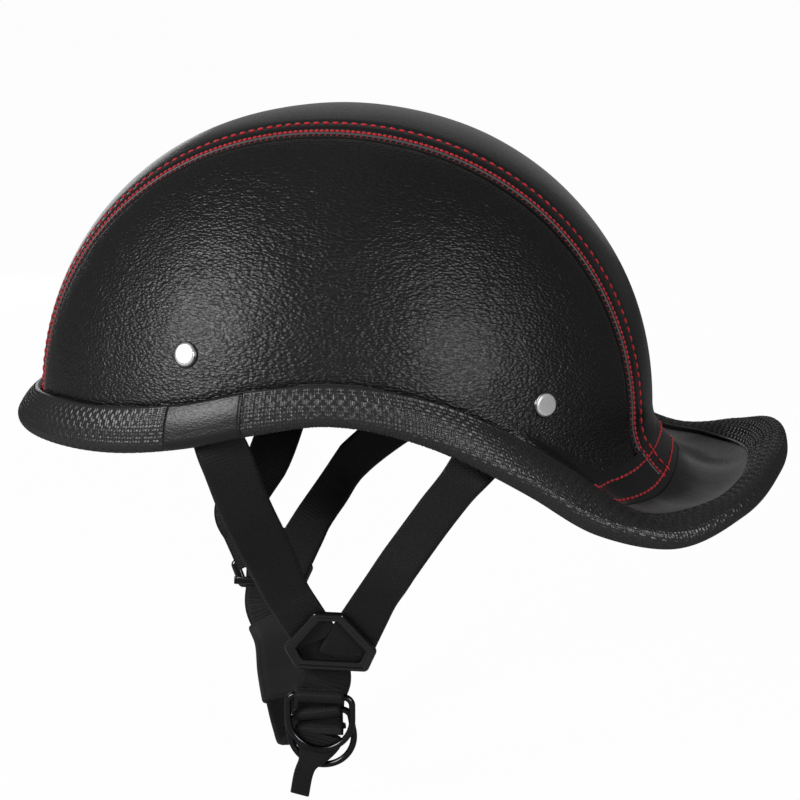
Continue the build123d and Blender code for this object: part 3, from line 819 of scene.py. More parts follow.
def cloth_weave_group():
    """Over and under threads of a plain weave, in the piece's own surface places."""
    group, start, end = new_group(
        "Cloth weave",
        [("Vector", "NodeSocketVector", None), ("Thread pitch", "NodeSocketFloat", 0.0006)],
        [("Height", "NodeSocketFloat"), ("Shade", "NodeSocketFloat")],
    )
    turns = math_node(group, "DIVIDE", pi, start.outputs["Thread pitch"])
    parts = add_node(group, "ShaderNodeSeparateXYZ", {0: start.outputs["Vector"]})
    across = math_node(group, "MULTIPLY", parts.outputs["X"], turns)
    along = math_node(group, "MULTIPLY", parts.outputs["Y"], turns)
    warp, weft = math_node(group, "SINE", across), math_node(group, "SINE", along)
    over = math_node(group, "GREATER_THAN", math_node(group, "MULTIPLY", warp, weft), 0.0)
    upper = math_node(group, "MULTIPLY", math_node(group, "ABSOLUTE", warp), over)
    under = math_node(group, "SUBTRACT", 1.0, over)
    lower = math_node(group, "MULTIPLY", math_node(group, "ABSOLUTE", weft), under)
    total = math_node(group, "ADD", upper, lower)
    group.links.new(total, end.inputs["Height"])
    group.links.new(total, end.inputs["Shade"])
    return group


def uneven_colour_group():
    """A little lighter and darker over the surface."""
    group, start, end = new_group(
        "Uneven colour",
        [("Vector", "NodeSocketVector", None), ("Colour", "NodeSocketColor", (0.02, 0.02, 0.02, 1)),
         ("Size", "NodeSocketFloat", 0.03), ("Amount", "NodeSocketFloat", 0.3)],
        [("Colour", "NodeSocketColor"), ("Mask", "NodeSocketFloat")],
    )
    density = math_node(group, "DIVIDE", 1.0, start.outputs["Size"])
    patches = noise_node(group, start.outputs["Vector"], density, 5.0)
    centred = math_node(group, "SUBTRACT", patches.outputs["Fac"], 0.5)
    amount = math_node(group, "ADD", math_node(group, "MULTIPLY", centred, start.outputs["Amount"]), 1.0)
    shade = vector_node(group, "SCALE", {0: start.outputs["Colour"], "Scale": amount})
    group.links.new(shade, end.inputs["Colour"])
    group.links.new(patches.outputs["Fac"], end.inputs["Mask"])
    return group


def shader_group(name):
    """A shader group of this file, built once."""
    makers = {
        "Leather grain": leather_grain_group,
        "Cloth weave": cloth_weave_group,
        "Uneven colour": uneven_colour_group,
    }
    return bpy.data.node_groups.get(name) or makers[name]()


def new_material(
    name, colour, roughness, metallic=0.0, specular=0.5, sheen=0.0, coat=0.0, coat_roughness=0.2
):
    """Principled material with an uneven version of one colour."""
    material = bpy.data.materials.new(name)
    material.use_nodes = True
    tree = material.node_tree
    shader = tree.nodes["Principled BSDF"]
    values = {
        "Roughness": roughness, "Metallic": metallic, "Specular IOR Level": specular,
        "Sheen Weight": sheen, "Sheen Roughness": 0.4,
        "Coat Weight": coat, "Coat Roughness": coat_roughness,
    }
    for socket, value in values.items():
        shader.inputs[socket].default_value = value
    place = tree.nodes.new("ShaderNodeTexCoord")
    inputs = {"Vector": place.outputs["Object"], "Colour": (*colour, 1)}
    uneven = add_node(tree, "ShaderNodeGroup", inputs, node_tree=shader_group("Uneven colour"))
    tree.links.new(uneven.outputs["Colour"], shader.inputs["Base Color"])
    material.diffuse_color = (*colour, 1)
    return material, tree, shader, place


def add_bump(tree, shader, height, distance):
    """Bump of a given depth in metres."""
    bump = add_node(tree, "ShaderNodeBump", {"Distance": distance, "Strength": 1.0, "Height": height})
    tree.links.new(bump.outputs["Normal"], shader.inputs["Normal"])


def vary_roughness(tree, shader, mask, low, high):
    """Roughness between two values, by a mask."""
    spread = add_node(tree, "ShaderNodeMapRange", {"To Min": low, "To Max": high, "Value": mask})
    tree.links.new(spread.outputs["Result"], shader.inputs["Roughness"])


def leather_material(name, colour, cell, crease, wrinkle, depth, rough, coat):
    """Leather with a pebbled grain whose raised cells are polished."""
    material, tree, shader, place = new_material(name, colour, rough[1], coat=coat)
    inputs = {"Vector": place.outputs["Object"], "Cell size": cell, "Crease": crease, "Wrinkle": wrinkle}
    grain = add_node(tree, "ShaderNodeGroup", inputs, node_tree=shader_group("Leather grain"))
    add_bump(tree, shader, grain.outputs["Height"], depth)
    vary_roughness(tree, shader, grain.outputs["Polish"], rough[1], rough[0])
    return material


def cloth_material(name, colour, pitch, depth, rough, sheen):
    """Woven cloth."""
    material, tree, shader, place = new_material(name, colour, rough, specular=0.3, sheen=sheen)
    inputs = {"Vector": place.outputs["UV"], "Thread pitch": pitch}
    weave = add_node(tree, "ShaderNodeGroup", inputs, node_tree=shader_group("Cloth weave"))
    add_bump(tree, shader, weave.outputs["Height"], depth)
    vary_roughness(tree, shader, weave.outputs["Shade"], min(rough + 0.15, 1.0), rough - 0.1)
    return material


def plain_material(name, colour, rough, grain_scale, depth, finish=None):
    """Moulded, plated or foamed surface with a fine unevenness."""
    material, tree, shader, place = new_material(name, colour, rough, **(finish or {}))
    fine = noise_node(tree, place.outputs["Object"], grain_scale, 3.0)
    add_bump(tree, shader, fine.outputs["Fac"], depth)
    vary_roughness(tree, shader, fine.outputs["Fac"], rough * 0.8, min(rough * 1.25, 1.0))
    return material


def helmet_material(name):
    """A material of this file, built once."""
    made = bpy.data.materials.get(name)
    if made:
        return made
    colours = bpy.context.scene.helmet_colours
    leather, binding, webbing = tuple(colours.leather), tuple(colours.binding), tuple(colours.webbing)
    thread, piping, metal = tuple(colours.thread), tuple(colours.piping), tuple(colours.metal)
    polish = {"coat": 0.6, "coat_roughness": 0.08}
    makers = {
        "Grained leather": (leather_material, leather, 0.0013, 0.8, 0.6, 0.00050, (0.28, 0.44), 0.06),
        "Smooth leather": (leather_material, leather, 0.0010, 0.35, 0.8, 0.00012, (0.26, 0.38), 0.20),
        "Embossed binding": (leather_material, binding, 0.0006, 0.3, 0.3, 0.00004, (0.30, 0.42), 0.15),
        "Plain binding": (leather_material, leather, 0.0011, 0.5, 0.6, 0.00018, (0.34, 0.50), 0.08),
        "Red thread": (plain_material, thread, 0.55, 5200.0, 0.00008, {"sheen": 0.3}),
        "Grey piping": (plain_material, piping, 0.42, 2400.0, 0.00005, {"coat": 0.1}),
        "Webbing": (cloth_material, webbing, 0.00085, 0.00010, 0.60, 0.06),
        "Sleeve cloth": (cloth_material, (0.016, 0.016, 0.017), 0.0007, 0.00006, 0.66, 0.4),
        "Pad cloth": (cloth_material, (0.020, 0.020, 0.022), 0.0011, 0.00012, 0.75, 0.5),
        "Lining felt": (plain_material, (0.012, 0.012, 0.012), 0.9, 1500.0, 0.00025, {"sheen": 0.4}),
        "Moulded plastic": (plain_material, (0.012, 0.012, 0.012), 0.45, 900.0, 0.00004),
        "Liner foam": (plain_material, (0.022, 0.022, 0.023), 0.85, 420.0, 0.0005),
        "Glossy divider": (plain_material, (0.006, 0.006, 0.0065), 0.13, 600.0, 0.00001, polish),
        "Ring metal": (plain_material, metal, 0.20, 700.0, 0.00001, {"metallic": 1.0}),
        # rivet caps: the face's near-white, half-metal colour is a painted reflection that keeps the chrome
        # bright from every side, and the side's dark colour is painted shade round the rim
        "Rivet chrome": (plain_material, (0.88, 0.88, 0.89), 0.22, 500.0, 0.000006, {"metallic": 0.45}),
        "Rivet side": (plain_material, (0.20, 0.20, 0.21), 0.28, 500.0, 0.000006, {"metallic": 1.0}),
        "Washer steel": (plain_material, (0.45, 0.45, 0.46), 0.35, 900.0, 0.00002, {"metallic": 1.0}),
        # dark matte colour of the strip in the seam gaps, darker than the leather: painted shade in the gap
        "Dark seam": (plain_material, (0.004, 0.004, 0.004), 0.8, 800.0, 0.00003),
    }
    maker, *values = makers[name]
    return maker(name, *values)


# geometry node trees


def stitch_tree():
    """Stitches laid end to end along a line, each a rounded thread turned to the surface."""
    found = bpy.data.node_groups.get("Stitch line")
    if found:
        return found
    inputs = (
        ("Geometry", "NodeSocketGeometry", None), ("Pitch", "NodeSocketFloat", 0.004),
        ("Length", "NodeSocketFloat", 0.003), ("Thickness", "NodeSocketFloat", 0.0009),
        ("Turn", "NodeSocketFloat", 0.0), ("Unevenness", "NodeSocketFloat", 0.06),
        ("Seed", "NodeSocketInt", 3), ("Thread", "NodeSocketMaterial", None),
    )
    outputs = (("Geometry", "NodeSocketGeometry"),)
    tree, start, end = new_group("Stitch line", inputs, outputs, "GeometryNodeTree")
    given = start.outputs
    line = add_node(tree, "GeometryNodeMeshToCurve", {"Mesh": given["Geometry"]}).outputs[0]
    inputs = {"Curve": line, "Length": given["Pitch"]}
    even = add_node(tree, "GeometryNodeResampleCurve", inputs, mode="LENGTH")
    thread = add_node(tree, "GeometryNodeMeshUVSphere", {"Segments": 8, "Rings": 5, "Radius": 0.5})
    thick = given["Thickness"]
    size = add_node(tree, "ShaderNodeCombineXYZ", {"X": given["Length"], "Y": thick, "Z": thick})
    tangent = add_node(tree, "GeometryNodeInputTangent", {})
    inputs = {"Name": "outward"}
    looks = add_node(tree, "GeometryNodeInputNamedAttribute", inputs, data_type="FLOAT_VECTOR")
    lie = add_node(tree, "FunctionNodeAlignRotationToVector", {"Vector": tangent.outputs[0]}, axis="X")
    stand = add_node(
        tree, "FunctionNodeAlignRotationToVector",
        {"Rotation": lie.outputs[0], "Vector": looks.outputs["Attribute"]}, axis="Z", pivot_axis="X",
    )
    least = math_node(tree, "MULTIPLY", given["Unevenness"], -1.0)
    wobble = add_node(
        tree, "FunctionNodeRandomValue",
        {2: least, 3: given["Unevenness"], "Seed": given["Seed"]}, data_type="FLOAT",
    )
    turn = math_node(tree, "ADD", given["Turn"], wobble.outputs[1])
    about = add_node(tree, "FunctionNodeAxisAngleToRotation", {"Axis": (0, 0, 1), "Angle": turn})
    turned = add_node(
        tree, "FunctionNodeRotateRotation",
        {"Rotation": stand.outputs[0], "Rotate By": about.outputs[0]}, rotation_space="LOCAL",
    )
    copies = add_node(
        tree, "GeometryNodeInstanceOnPoints",
        {"Points": even.outputs[0], "Instance": thread.outputs["Mesh"], "Rotation": turned.outputs[0],
         "Scale": size.outputs[0]},
    )
    real = add_node(tree, "GeometryNodeRealizeInstances", {0: copies.outputs[0]})
    soft = add_node(tree, "GeometryNodeSetShadeSmooth", {0: real.outputs[0]})
    inputs = {"Geometry": soft.outputs[0], "Material": given["Thread"]}
    paint = add_node(tree, "GeometryNodeSetMaterial", inputs)
    tree.links.new(paint.outputs[0], end.inputs[0])
    return tree


def line_guide(name, points, normals):
    """Edge mesh along a line, which carries the surface's outward direction."""
    mesh = bpy.data.meshes.new(name)
    edges = [(i, i + 1) for i in range(len(points) - 1)]
    mesh.from_pydata([Vector(p) * MM for p in points], edges, [])
    outward = mesh.attributes.new("outward", "FLOAT_VECTOR", "POINT")
    outward.data.foreach_set("vector", np.array([list(n) for n in normals], np.float32).ravel())
    return new_object(name, mesh)


def bake_tree(guide, tree, values, name):
    """Runs a node tree on a guide and keeps the result as a plain mesh."""
    modifier = guide.modifiers.new("Tree", "NODES")
    modifier.node_group = tree
    for item in tree.interface.items_tree:
        if item.in_out == "INPUT" and item.name in values:
            modifier[item.identifier] = values[item.name]
    shown = guide.evaluated_get(bpy.context.evaluated_depsgraph_get())
    mesh = bpy.data.meshes.new_from_object(shown)
    bpy.data.objects.remove(guide)
    return new_object(name, mesh)


def stitch_line(name, points, normals, pitch, length, thickness, turn=0.0):
    """One line of stitching as a mesh."""
    values = {
        "Pitch": pitch, "Length": length, "Thickness": thickness, "Turn": turn, "Seed": 3,
        "Thread": helmet_material("Red thread"),
    }
    return bake_tree(line_guide(name + "_guide", points, normals), stitch_tree(), values, name)


# leather and binding


def seam_line(side, inwards, lift, finish=2.0):
    """Points along the seam between crown and side panels, moved over towards the crown."""
    points, normals = [], []
    count = 300
    for i in range(count):
        along = i / (seam_over_dome * (count - 1))
        along = along if along <= 1 else 1 + (along - 1) / (1 / seam_over_dome - 1) * (finish - 1)
        middle = crown_place(min(along, 1), 0.0, 0)[0]
        over_band = seam_over_band * held((along - 1.45) / 0.1)
        point, normal = crown_place(along, side * (crown_width(middle.x) - inwards), lift + over_band)
        points.append(point)
        normals.append(normal)
    return points, normals


class HELMET_OT_crown_panel(bpy.types.Operator):
    """Make the leather panel over the crown"""

    bl_idname = "helmet.crown_panel"
    bl_label = "Crown panel"

    def execute(self, context):
        sizes = context.scene.helmet_sizes
        dome_rows, rows, columns = 215, 235, 57
        grid = np.zeros((rows, columns, 3))
        for i in range(rows):
            along = i / (dome_rows - 1)
            if i >= dome_rows:
                along = 1 + crown_overrun * (i - dome_rows + 1) / (rows - dome_rows)
            middle = crown_place(min(along, 1), 0.0, 0)[0]
            width = crown_width(middle.x) - 0.5
            for k in range(columns):
                v = sin(pi / 2 * (-1 + 2 * k / (columns - 1)))
                point = crown_place(along, v * width, 0)[0]
                near = (1 - abs(v)) * width
                line = abs(near - sizes.stitch_inset / MM)
                lift = crown_lift - dip(near, crown_seam_dip) - dip(line, crown_thread_dip)
                lift += slow_wave(point, crown_wave, sizes.seed)
                grid[i, k] = crown_place(along, v * width, lift)[0]
        made = grid_mesh("crown_leather", grid)
        thicken(made, panel_thickness)
        finish_piece(made, helmet_material("Smooth leather"), "helmet", ["crown_panel"])
        return {"FINISHED"}


class HELMET_OT_side_panels(bpy.types.Operator):
    """Make the pebbled leather panels at the sides"""

    bl_idname = "helmet.side_panels"
    bl_label = "Side panels"

    def execute(self, context):
        sizes = context.scene.helmet_sizes
        rows, columns = 190, 84
        for side_name, side in sides_of_head:
            ends = []
            for low, high in ((1.0, 60.0), (179.0, 120.0)):
                for _ in range(30):
                    middle = (low + high) / 2
                    z = brim_root(middle)
                    reach = dome_radius(middle, z)
                    inside = reach * sin(radians(middle)) < crown_width(reach * cos(radians(middle)))
                    low, high = (middle, high) if inside else (low, middle)
                ends.append((low + high) / 2)
            grid = np.zeros((rows, columns, 3))
            for i in range(rows):
                share = i / (rows - 1)
                share = share - 0.08 * sin(2 * pi * share)
                azimuth = ends[0] + (ends[1] - ends[0]) * share
                bottom, root = seam_point(azimuth).y - 1.2, brim_root(azimuth)
                top = self.upper(azimuth, root)
                on_brim = ease(held((50 - azimuth) / 10))
                end = min(band_line(azimuth, False) + 0.04, 1.0)
                for k in range(columns):
                    v = 0.5 - 0.5 * cos(pi * k / (columns - 1))
                    foot = v / side_foot_share
                    if foot < 1:
                        z = bottom + (root - bottom) * foot
                    else:
                        low_angle, high_angle = (asin(height / dome_height) for height in (root, top))
                        share = (v - side_foot_share) / (1 - side_foot_share)
                        z = dome_height * sin(low_angle + (high_angle - low_angle) * share)
                    point = round_the_axis((dome_radius(azimuth, z), z), azimuth)
                    point.y = side * abs(point.y)
                    near = max(abs(point.y) - crown_width(point.x) - side_seam_gap, 0)
                    tucked = (1 - on_brim) * dip(z - bottom, side_foot_dip)
                    lift = side_lift - dip(near, side_seam_dip) - tucked
                    lift += slow_wave(point, side_waves[0], sizes.seed + 2)
                    lift += slow_wave(point, side_waves[1], sizes.seed)
                    place = point + outward_at(point) * lift
                    if foot < 1 and on_brim > 0:
                        t = end * (1 - foot)
                        lift += rim_tuck * max(0.0, 1 - t / tuck_share)
                        low = round_the_axis(skirt_point(azimuth, t, lift), azimuth)
                        low.y = side * abs(low.y)
                        place = place.lerp(low, on_brim)
                    grid[i, k] = place
            made = grid_mesh(side_name + "_side_leather", grid)
            thicken(made, panel_thickness)
            node = side_name + "_side_panel"
            finish_piece(made, helmet_material("Grained leather"), "helmet", [node])
        return {"FINISHED"}

    def upper(self, azimuth, bottom):
        """Height at which the radial plane meets the crown panel's seam."""
        low, high = bottom, dome_height * 0.9999
        for _ in range(36):
            middle = (low + high) / 2
            radius = dome_radius(azimuth, middle)
            y = radius * sin(radians(azimuth))
            if y > crown_width(radius * cos(radians(azimuth))) + side_seam_gap:
                low = middle
            else:
                high = middle
        return low


class HELMET_OT_rear_band_and_brim(bpy.types.Operator):
    """Make the leather band over the brim's root and the leather on the brim"""

    bl_idname = "helmet.rear_band_and_brim"
    bl_label = "Rear band and brim"

    def execute(self, context):
        sizes = context.scene.helmet_sizes
        band = self.plate("rear_band_leather", *band_overlap, *band_lift, 26, sizes.seed)
        finish_piece(band, helmet_material("Smooth leather"), "helmet", ["rear_band"])
        cover = self.plate("brim_leather", *cover_overlap, *cover_lift, 60, sizes.seed + 4)
        finish_piece(cover, helmet_material("Smooth leather"), "helmet", ["brim_cover"])
        return {"FINISHED"}

    def plate(self, name, over, under, lift, tuck, columns, seed):
        """Leather between the two lines of stitching, or from the lower line to the binding."""
        rows = 150
        sweep = brim_sweep - 1.0 if over is not None else brim_sweep + 1.5
        grid = np.zeros((rows, columns, 3))
        for i in range(rows):
            azimuth = -sweep + 2 * sweep * i / (rows - 1)
            if over is not None:
                first = min(band_line(azimuth, False) + over, 1.0)
                last = min(band_line(azimuth, True) + under, 1.03)
            else:
                first, last = min(band_line(azimuth, True) + under, 0.97), 1.03
            for k in range(columns):
                v = k / (columns - 1)
                t = first + (last - first) * (0.5 - 0.5 * cos(pi * v))
                near = min(v, 1 - v) * 2
                rise = lift - dip(near, (tuck, plate_edge_width))
                rise += slow_wave(round_the_axis(skirt_point(azimuth, t), azimuth), plate_wave, seed)
                grid[i, k] = round_the_axis(skirt_point(azimuth, t, rise), azimuth)
        made = grid_mesh(name, grid)
        thicken(made, plate_thickness)
        return made


def trim_section(azimuth, proud, top_count, bead_count):
    """Closed outline of the binding in its radial plane, with how far round it each point is."""
    seam, edge = seam_point(azimuth), edge_point(azimuth)
    out = (edge - seam).normalized()
    normal = Vector((-out.y, out.x))
    length = (edge - seam).length
    top = trim_thickness + proud
    run = length - bead_radius
    points, normals, around = [], [], []

    def add(along, height, lean, distance):
        points.append(seam + out * along + normal * height)
        normals.append((out * lean[0] + normal * lean[1]).normalized())
        around.append(distance)

    add(0.2, -cover_thickness, (-1, 0), -2.0)
    add(0.2, top - 0.7, (-1, 0), -0.7)
    for k in range(top_count):
        q = k / (top_count - 1)
        along = 0.6 + (run - 0.6) * q
        add(along, top + trim_crown * 4 * q * (1 - q), (0, 1), along)
    for k in range(1, bead_count):
        angle = pi * k / (bead_count - 1)
        along, rise = run + bead_radius * sin(angle), top - bead_radius + bead_radius * cos(angle)
        add(along, rise, (sin(angle), cos(angle)), run + bead_radius * angle)
    base = top - 2 * bead_radius
    leg = length - trim_inner_leg
    around_end = run + bead_radius * pi
    add((run + leg) / 2, base, (0, -1), around_end + 2.5)
    add(leg + 0.6, base, (0, -1), around_end + 4.5)
    add(leg, base + 0.6, (-1, 0), around_end + 5.2)
    add(leg, -cover_thickness - 3.7, (-1, 0), around_end + 6.5)
    add(run, -cover_thickness - 3.6, (0, 1), around_end + 7)
    add(run, -cover_thickness + 0.1, (0, -1), around_end + 8)
    return points, normals, around


def stair_weave(along, around, cell, pitch):
    """Height of the weave's ribs, which step from cell to cell, from 0 in a groove to 1 on a rib."""
    step = np.floor(along / cell) + np.floor(around / cell)
    across_ribs = 0.5 + 0.5 * np.cos(2 * pi * along / pitch)
    along_ribs = 0.5 + 0.5 * np.cos(2 * pi * around / pitch)
    return np.sqrt(np.where(step % 2 == 0, across_ribs, 0.75 * along_ribs))


class HELMET_OT_edge_trim(bpy.types.Operator):
    """Make the embossed edge binding and the plain patches over its joins"""

    bl_idname = "helmet.edge_trim"
    bl_label = "Edge trim"

    def execute(self, context):
        front = (front_trim_azimuth, 360 - front_trim_azimuth)
        rear = (-rear_trim_azimuth, rear_trim_azimuth)
        emboss = helmet_material("Embossed binding")
        plain = helmet_material("Plain binding")
        made = self.binding("front_binding", *front, 0, fine_spacing)
        finish_piece(made, emboss, "helmet", ["front_trim"])
        halves = (("left", rear[0], 0.0), ("right", 0.0, rear[1]))
        for side_name, first, last in halves:
            made = self.binding(side_name + "_rear_binding", first, last, 0, fine_spacing)
            finish_piece(made, emboss, "helmet", ["rear_trim"])
        for side_name, side in sides_of_head:
            first, last = sorted((side * (front_trim_azimuth + 0.4), side * (rear_trim_azimuth - 0.4)))
            made = self.binding(side_name + "_binding_patch", first, last, patch_proud, 0.0)
            node = side_name + "_trim_patch"
            finish_piece(made, plain, "helmet", [node])
        return {"FINISHED"}

    def binding(self, name, first, last, proud, fine):
        """Binding between two azimuths, embossed where a fine spacing is given."""
        sizes = bpy.context.scene.helmet_sizes
        coarse = [first + (last - first) * i / 400 for i in range(401)]
        edge = [round_the_axis(edge_point(azimuth), azimuth) for azimuth in coarse]
        lengths = [0.0]
        for before, after in zip(edge[:-1], edge[1:]):
            lengths.append(lengths[-1] + (after - before).length)
        count = int(lengths[-1] / (fine or patch_spacing)) + 1
        even = np.linspace(0, lengths[-1], count)
        azimuths = np.interp(even, lengths, coarse)
        top_count, bead_count = (32, 34) if fine else (16, 16)
        points, normals, places = [], [], []
        for azimuth, along in zip(azimuths, even):
            flat, lean, around = trim_section(azimuth, proud, top_count, bead_count)
            points.append([round_the_axis(p, azimuth) for p in flat])
            normals.append([round_the_axis(n, azimuth) for n in lean])
            places.append([(along, distance) for distance in around])
        points, normals, places = np.array(points), np.array(normals), np.array(places)
        if fine:
            cell, pitch = sizes.emboss_cell / MM, sizes.emboss_pitch / MM
            height = stair_weave(places[:, :, 0], places[:, :, 1] - weave_start, cell, pitch)
            shown = np.zeros(points.shape[1])
            shown[4 : 2 + top_count + int(bead_count * weave_bead_share)] = 1.0
            edge_fade = np.clip((places[:, :, 1] - weave_start) / weave_fade, 0, 1)
            depth = (height - 1.0) * shown * edge_fade * sizes.emboss_depth / MM
            points = points + normals * depth[:, :, None]
        made = grid_mesh(name, points, places, loop=True, cap=True)
        face_outwards(made)
        return made


class HELMET_OT_seam_piping(bpy.types.Operator):
    """Make the piping that lies in the seams over the crown, and a dark strip in each seam's gap whose colour
    is painted shade
    """

    bl_idname = "helmet.seam_piping"
    bl_label = "Seam piping"

    def execute(self, context):
        sizes = context.scene.helmet_sizes
        radius = sizes.piping_radius / MM
        parts = []
        for side in (-1, 1):
            points = seam_line(side, 0.9, -0.2, 1.95)[0]
            parts.append(tube_mesh("piping_side", [list(p) for p in points], radius, sides=12))
        made = join_as("seam_piping", parts)
        made.data.shade_smooth()
        finish_piece(made, helmet_material("Grey piping"), "helmet")
        # a matte strip darker than the leather fills the bottom of each seam's gap as painted shade; the
        # cross stitches lie on it
        parts = []
        for side in (-1, 1):
            points = seam_line(side, -0.4, -1.1, 1.6)[0]
            parts.append(tube_mesh("seam_gap_shade_side", [list(p) for p in points], 1.0, sides=8))
        made = join_as("seam_gap_shade_strip", parts)
        finish_piece(made, helmet_material("Dark seam"), "helmet")
        return {"FINISHED"}


class HELMET_OT_stitching(bpy.types.Operator):
    """Make the red stitching along the crown seams and the rear band"""

    bl_idname = "helmet.stitching"
    bl_label = "Stitching"

    def execute(self, context):
        sizes = context.scene.helmet_sizes
        pitch, length, thick = sizes.stitch_pitch, sizes.stitch_length, sizes.thread_thickness
        parts = []
        rows = (
            ("top_stitches", sizes.stitch_inset / MM, 0.42, (1.0, 1.0, 1.0), 0.0),
            ("seam_stitches", 2.4, 0.1, (0.55, 0.7, 1.1), 0.0),
            ("cross_stitches", -0.35, -0.25, (0.62, 0.55, 0.5), radians(62)),
        )
        for side in (-1, 1):
            for name, inwards, lift, shares, turn in rows:
                made = (size * share for size, share in zip((pitch, length, thick), shares))
                parts.append(stitch_line(name, *seam_line(side, inwards, lift), *made, turn))
        for lower in (False, True):
            points, normals = self.band_stitches(lower, 1.2)
            parts.append(stitch_line("band_stitches", points, normals, pitch * 0.8, length * 0.9, thick))
        made = join_as("red_stitching", parts)
        finish_piece(made, None, "helmet")
        return {"FINISHED"}

    def band_stitches(self, lower, lift):
        points, normals = [], []
        for i in range(241):
            azimuth = -brim_sweep + 2 * brim_sweep * i / 240
            t = band_line(azimuth, lower)
            if t < 0.88:
                points.append(round_the_axis(skirt_point(azimuth, t, lift), azimuth))
                above = round_the_axis(skirt_point(azimuth, t, lift + 1), azimuth)
                normals.append((above - points[-1]).normalized())
        return points, normals


class HELMET_OT_rivets(bpy.types.Operator):
    """Make the chromed rivet caps with their shanks, the face's colour a painted reflection and the side's
    colour painted shade
    """

    bl_idname = "helmet.rivets"
    bl_label = "Rivets"

    def execute(self, context):
        for side_name, side in sides_of_head:
            for end_name, (x, z) in (("front", front_rivet), ("rear", rear_rivet)):
                place, axis = dome_point(x, z, side)
                place = place + axis * rivet_proud
                across = axis.cross(Vector((0, 0, 1))).normalized()
                up = axis.cross(across)
                grid = np.zeros((len(rivet_profile), rivet_sides, 3))
                for i, (radius, height) in enumerate(rivet_profile):
                    for k in range(rivet_sides):
                        angle = 2 * pi * k / rivet_sides
                        out = across * cos(angle) + up * sin(angle)
                        grid[i, k] = place + axis * height + out * radius
                made = grid_mesh(side_name + "_" + end_name + "_rivet_cap", grid, loop=True)
                face_outwards(made, weld=True)
                node = side_name + "_" + end_name + "_rivet"
                finish_piece(made, helmet_material("Rivet chrome"), "helmet", [node])
                made.data.materials.append(helmet_material("Rivet side"))
                # faces above the side's height take the painted-reflection colour, the rest the painted-shade
                # colour
                for face in made.data.polygons:
                    depth = (face.center / MM - place).dot(axis)
                    face.material_index = 0 if depth > rivet_side_height else 1
        return {"FINISHED"}


# harness


def harness_stations(side_name, side, end_name):
    """Stations of one strap, from its rivet inside the shell to the back of its divider."""
    centre = left_divider_centre if side < 0 else right_divider_centre
    plane = divider_plane(side, centre)
    wall = front_wall if end_name == "front" else rear_wall
    free = (front_free if end_name == "front" else rear_free)[side_name]
    tail = front_tail if end_name == "front" else rear_tail
    stations = [dome_point(x, z, side, depth_wall + webbing_thickness / 2) for x, z in wall]
    stations += [(Vector((x, y, z)), Vector((lean, side, up)).normalized()) for x, y, z, lean, up in free]
    stations += [(plane.at(side * -x, y, strap_layer), plane.z_dir) for x, y in tail]
    return stations, plane


def drop_stations():
    """Stations of the short strap from the left divider to the rings' bars."""
    plane = divider_plane(-1, left_divider_centre)
    behind = ring_wire_radius + wire_gap + webbing_thickness / 2
    heights = (drop_top, divider_shoulder * 2, divider_base, ring_strap_low)
    stations = [(plane.at(drop_shift, y, drop_layer), plane.z_dir) for y in heights]
    outer, inner = Vector(outer_bar), Vector(inner_bar)
    stations.append((outer + Vector((0, behind, 0)), Vector((0, -1, 0))))
    middle = (outer + inner) / 2 + Vector((0, behind, 0))
    stations.append((middle, Vector((0, -1, -link_lean)).normalized()))
    stations.append((inner + Vector((0, behind, 0)), Vector((0, -1, 0))))
    stations.append((inner + Vector((0, behind, -drop_end)), Vector((0, -1, 0))))
    return stations


def chin_stations():
    """Stations of the chin strap from the right divider to its fold over the inner ring."""
    plane = divider_plane(1, right_divider_centre)
    heights = (drop_top, divider_shoulder * 2, divider_base, chin_straight)
    stations = [(plane.at(chin_shift, y, drop_layer), None) for y in heights]
    stations += [(Vector(place), None) for place in chin_free]
    return stations


def fold_stations():
    centre = Vector(fold_centre)
    stations = []
    for turn in range(0, 181, 30):
        out = Vector((0, cos(radians(turn)), sin(radians(turn))))
        stations.append((centre + out * fold_radius, out))
    return stations


class HELMET_OT_harness_webbing(bpy.types.Operator):
    """Make the woven straps from the rivets to the dividers"""

    bl_idname = "helmet.harness_webbing"
    bl_label = "Harness webbing"

    def execute(self, context):
        rib = context.scene.helmet_sizes.rib_pitch / MM
        cloth = helmet_material("Webbing")
        for side_name, side in sides_of_head:
            for end_name in ("front", "rear"):
                stations, plane = harness_stations(side_name, side, end_name)
                name = side_name + "_" + end_name + "_webbing"
                parts = [webbing_mesh(name, stations, rib), webbing_mesh(name, stations, rib)]
                half_base, shoulder = strap_shoulder
                cut_away(parts[0], plane.at(0, shoulder), -plane.y_dir)
                cut_away(parts[1], plane.at(0, shoulder), plane.y_dir)
                for x in (half_base, -half_base):
                    cut_away(parts[1], plane.at(x, 0), plane.x_dir * np.sign(x))
                made = join_as(name, parts)
                crease = [plane.at(side * -x, y, strap_layer) for x, y in (crease_top, crease_base)]
                along = (crease[0] - crease[1]).normalized()
                sign = 1 if end_name == "front" else -1
                away = plane.z_dir.cross(along) * (sign * -side)
                cut_away(made, crease[0] - away * crease_gap, -away)
                cut_away(made, plane.at(0, strap_base), -plane.y_dir)
                made.data.shade_smooth()
                node = side_name + "_" + end_name + "_strap"
                finish_piece(made, cloth, "helmet", [node])
        return {"FINISHED"}


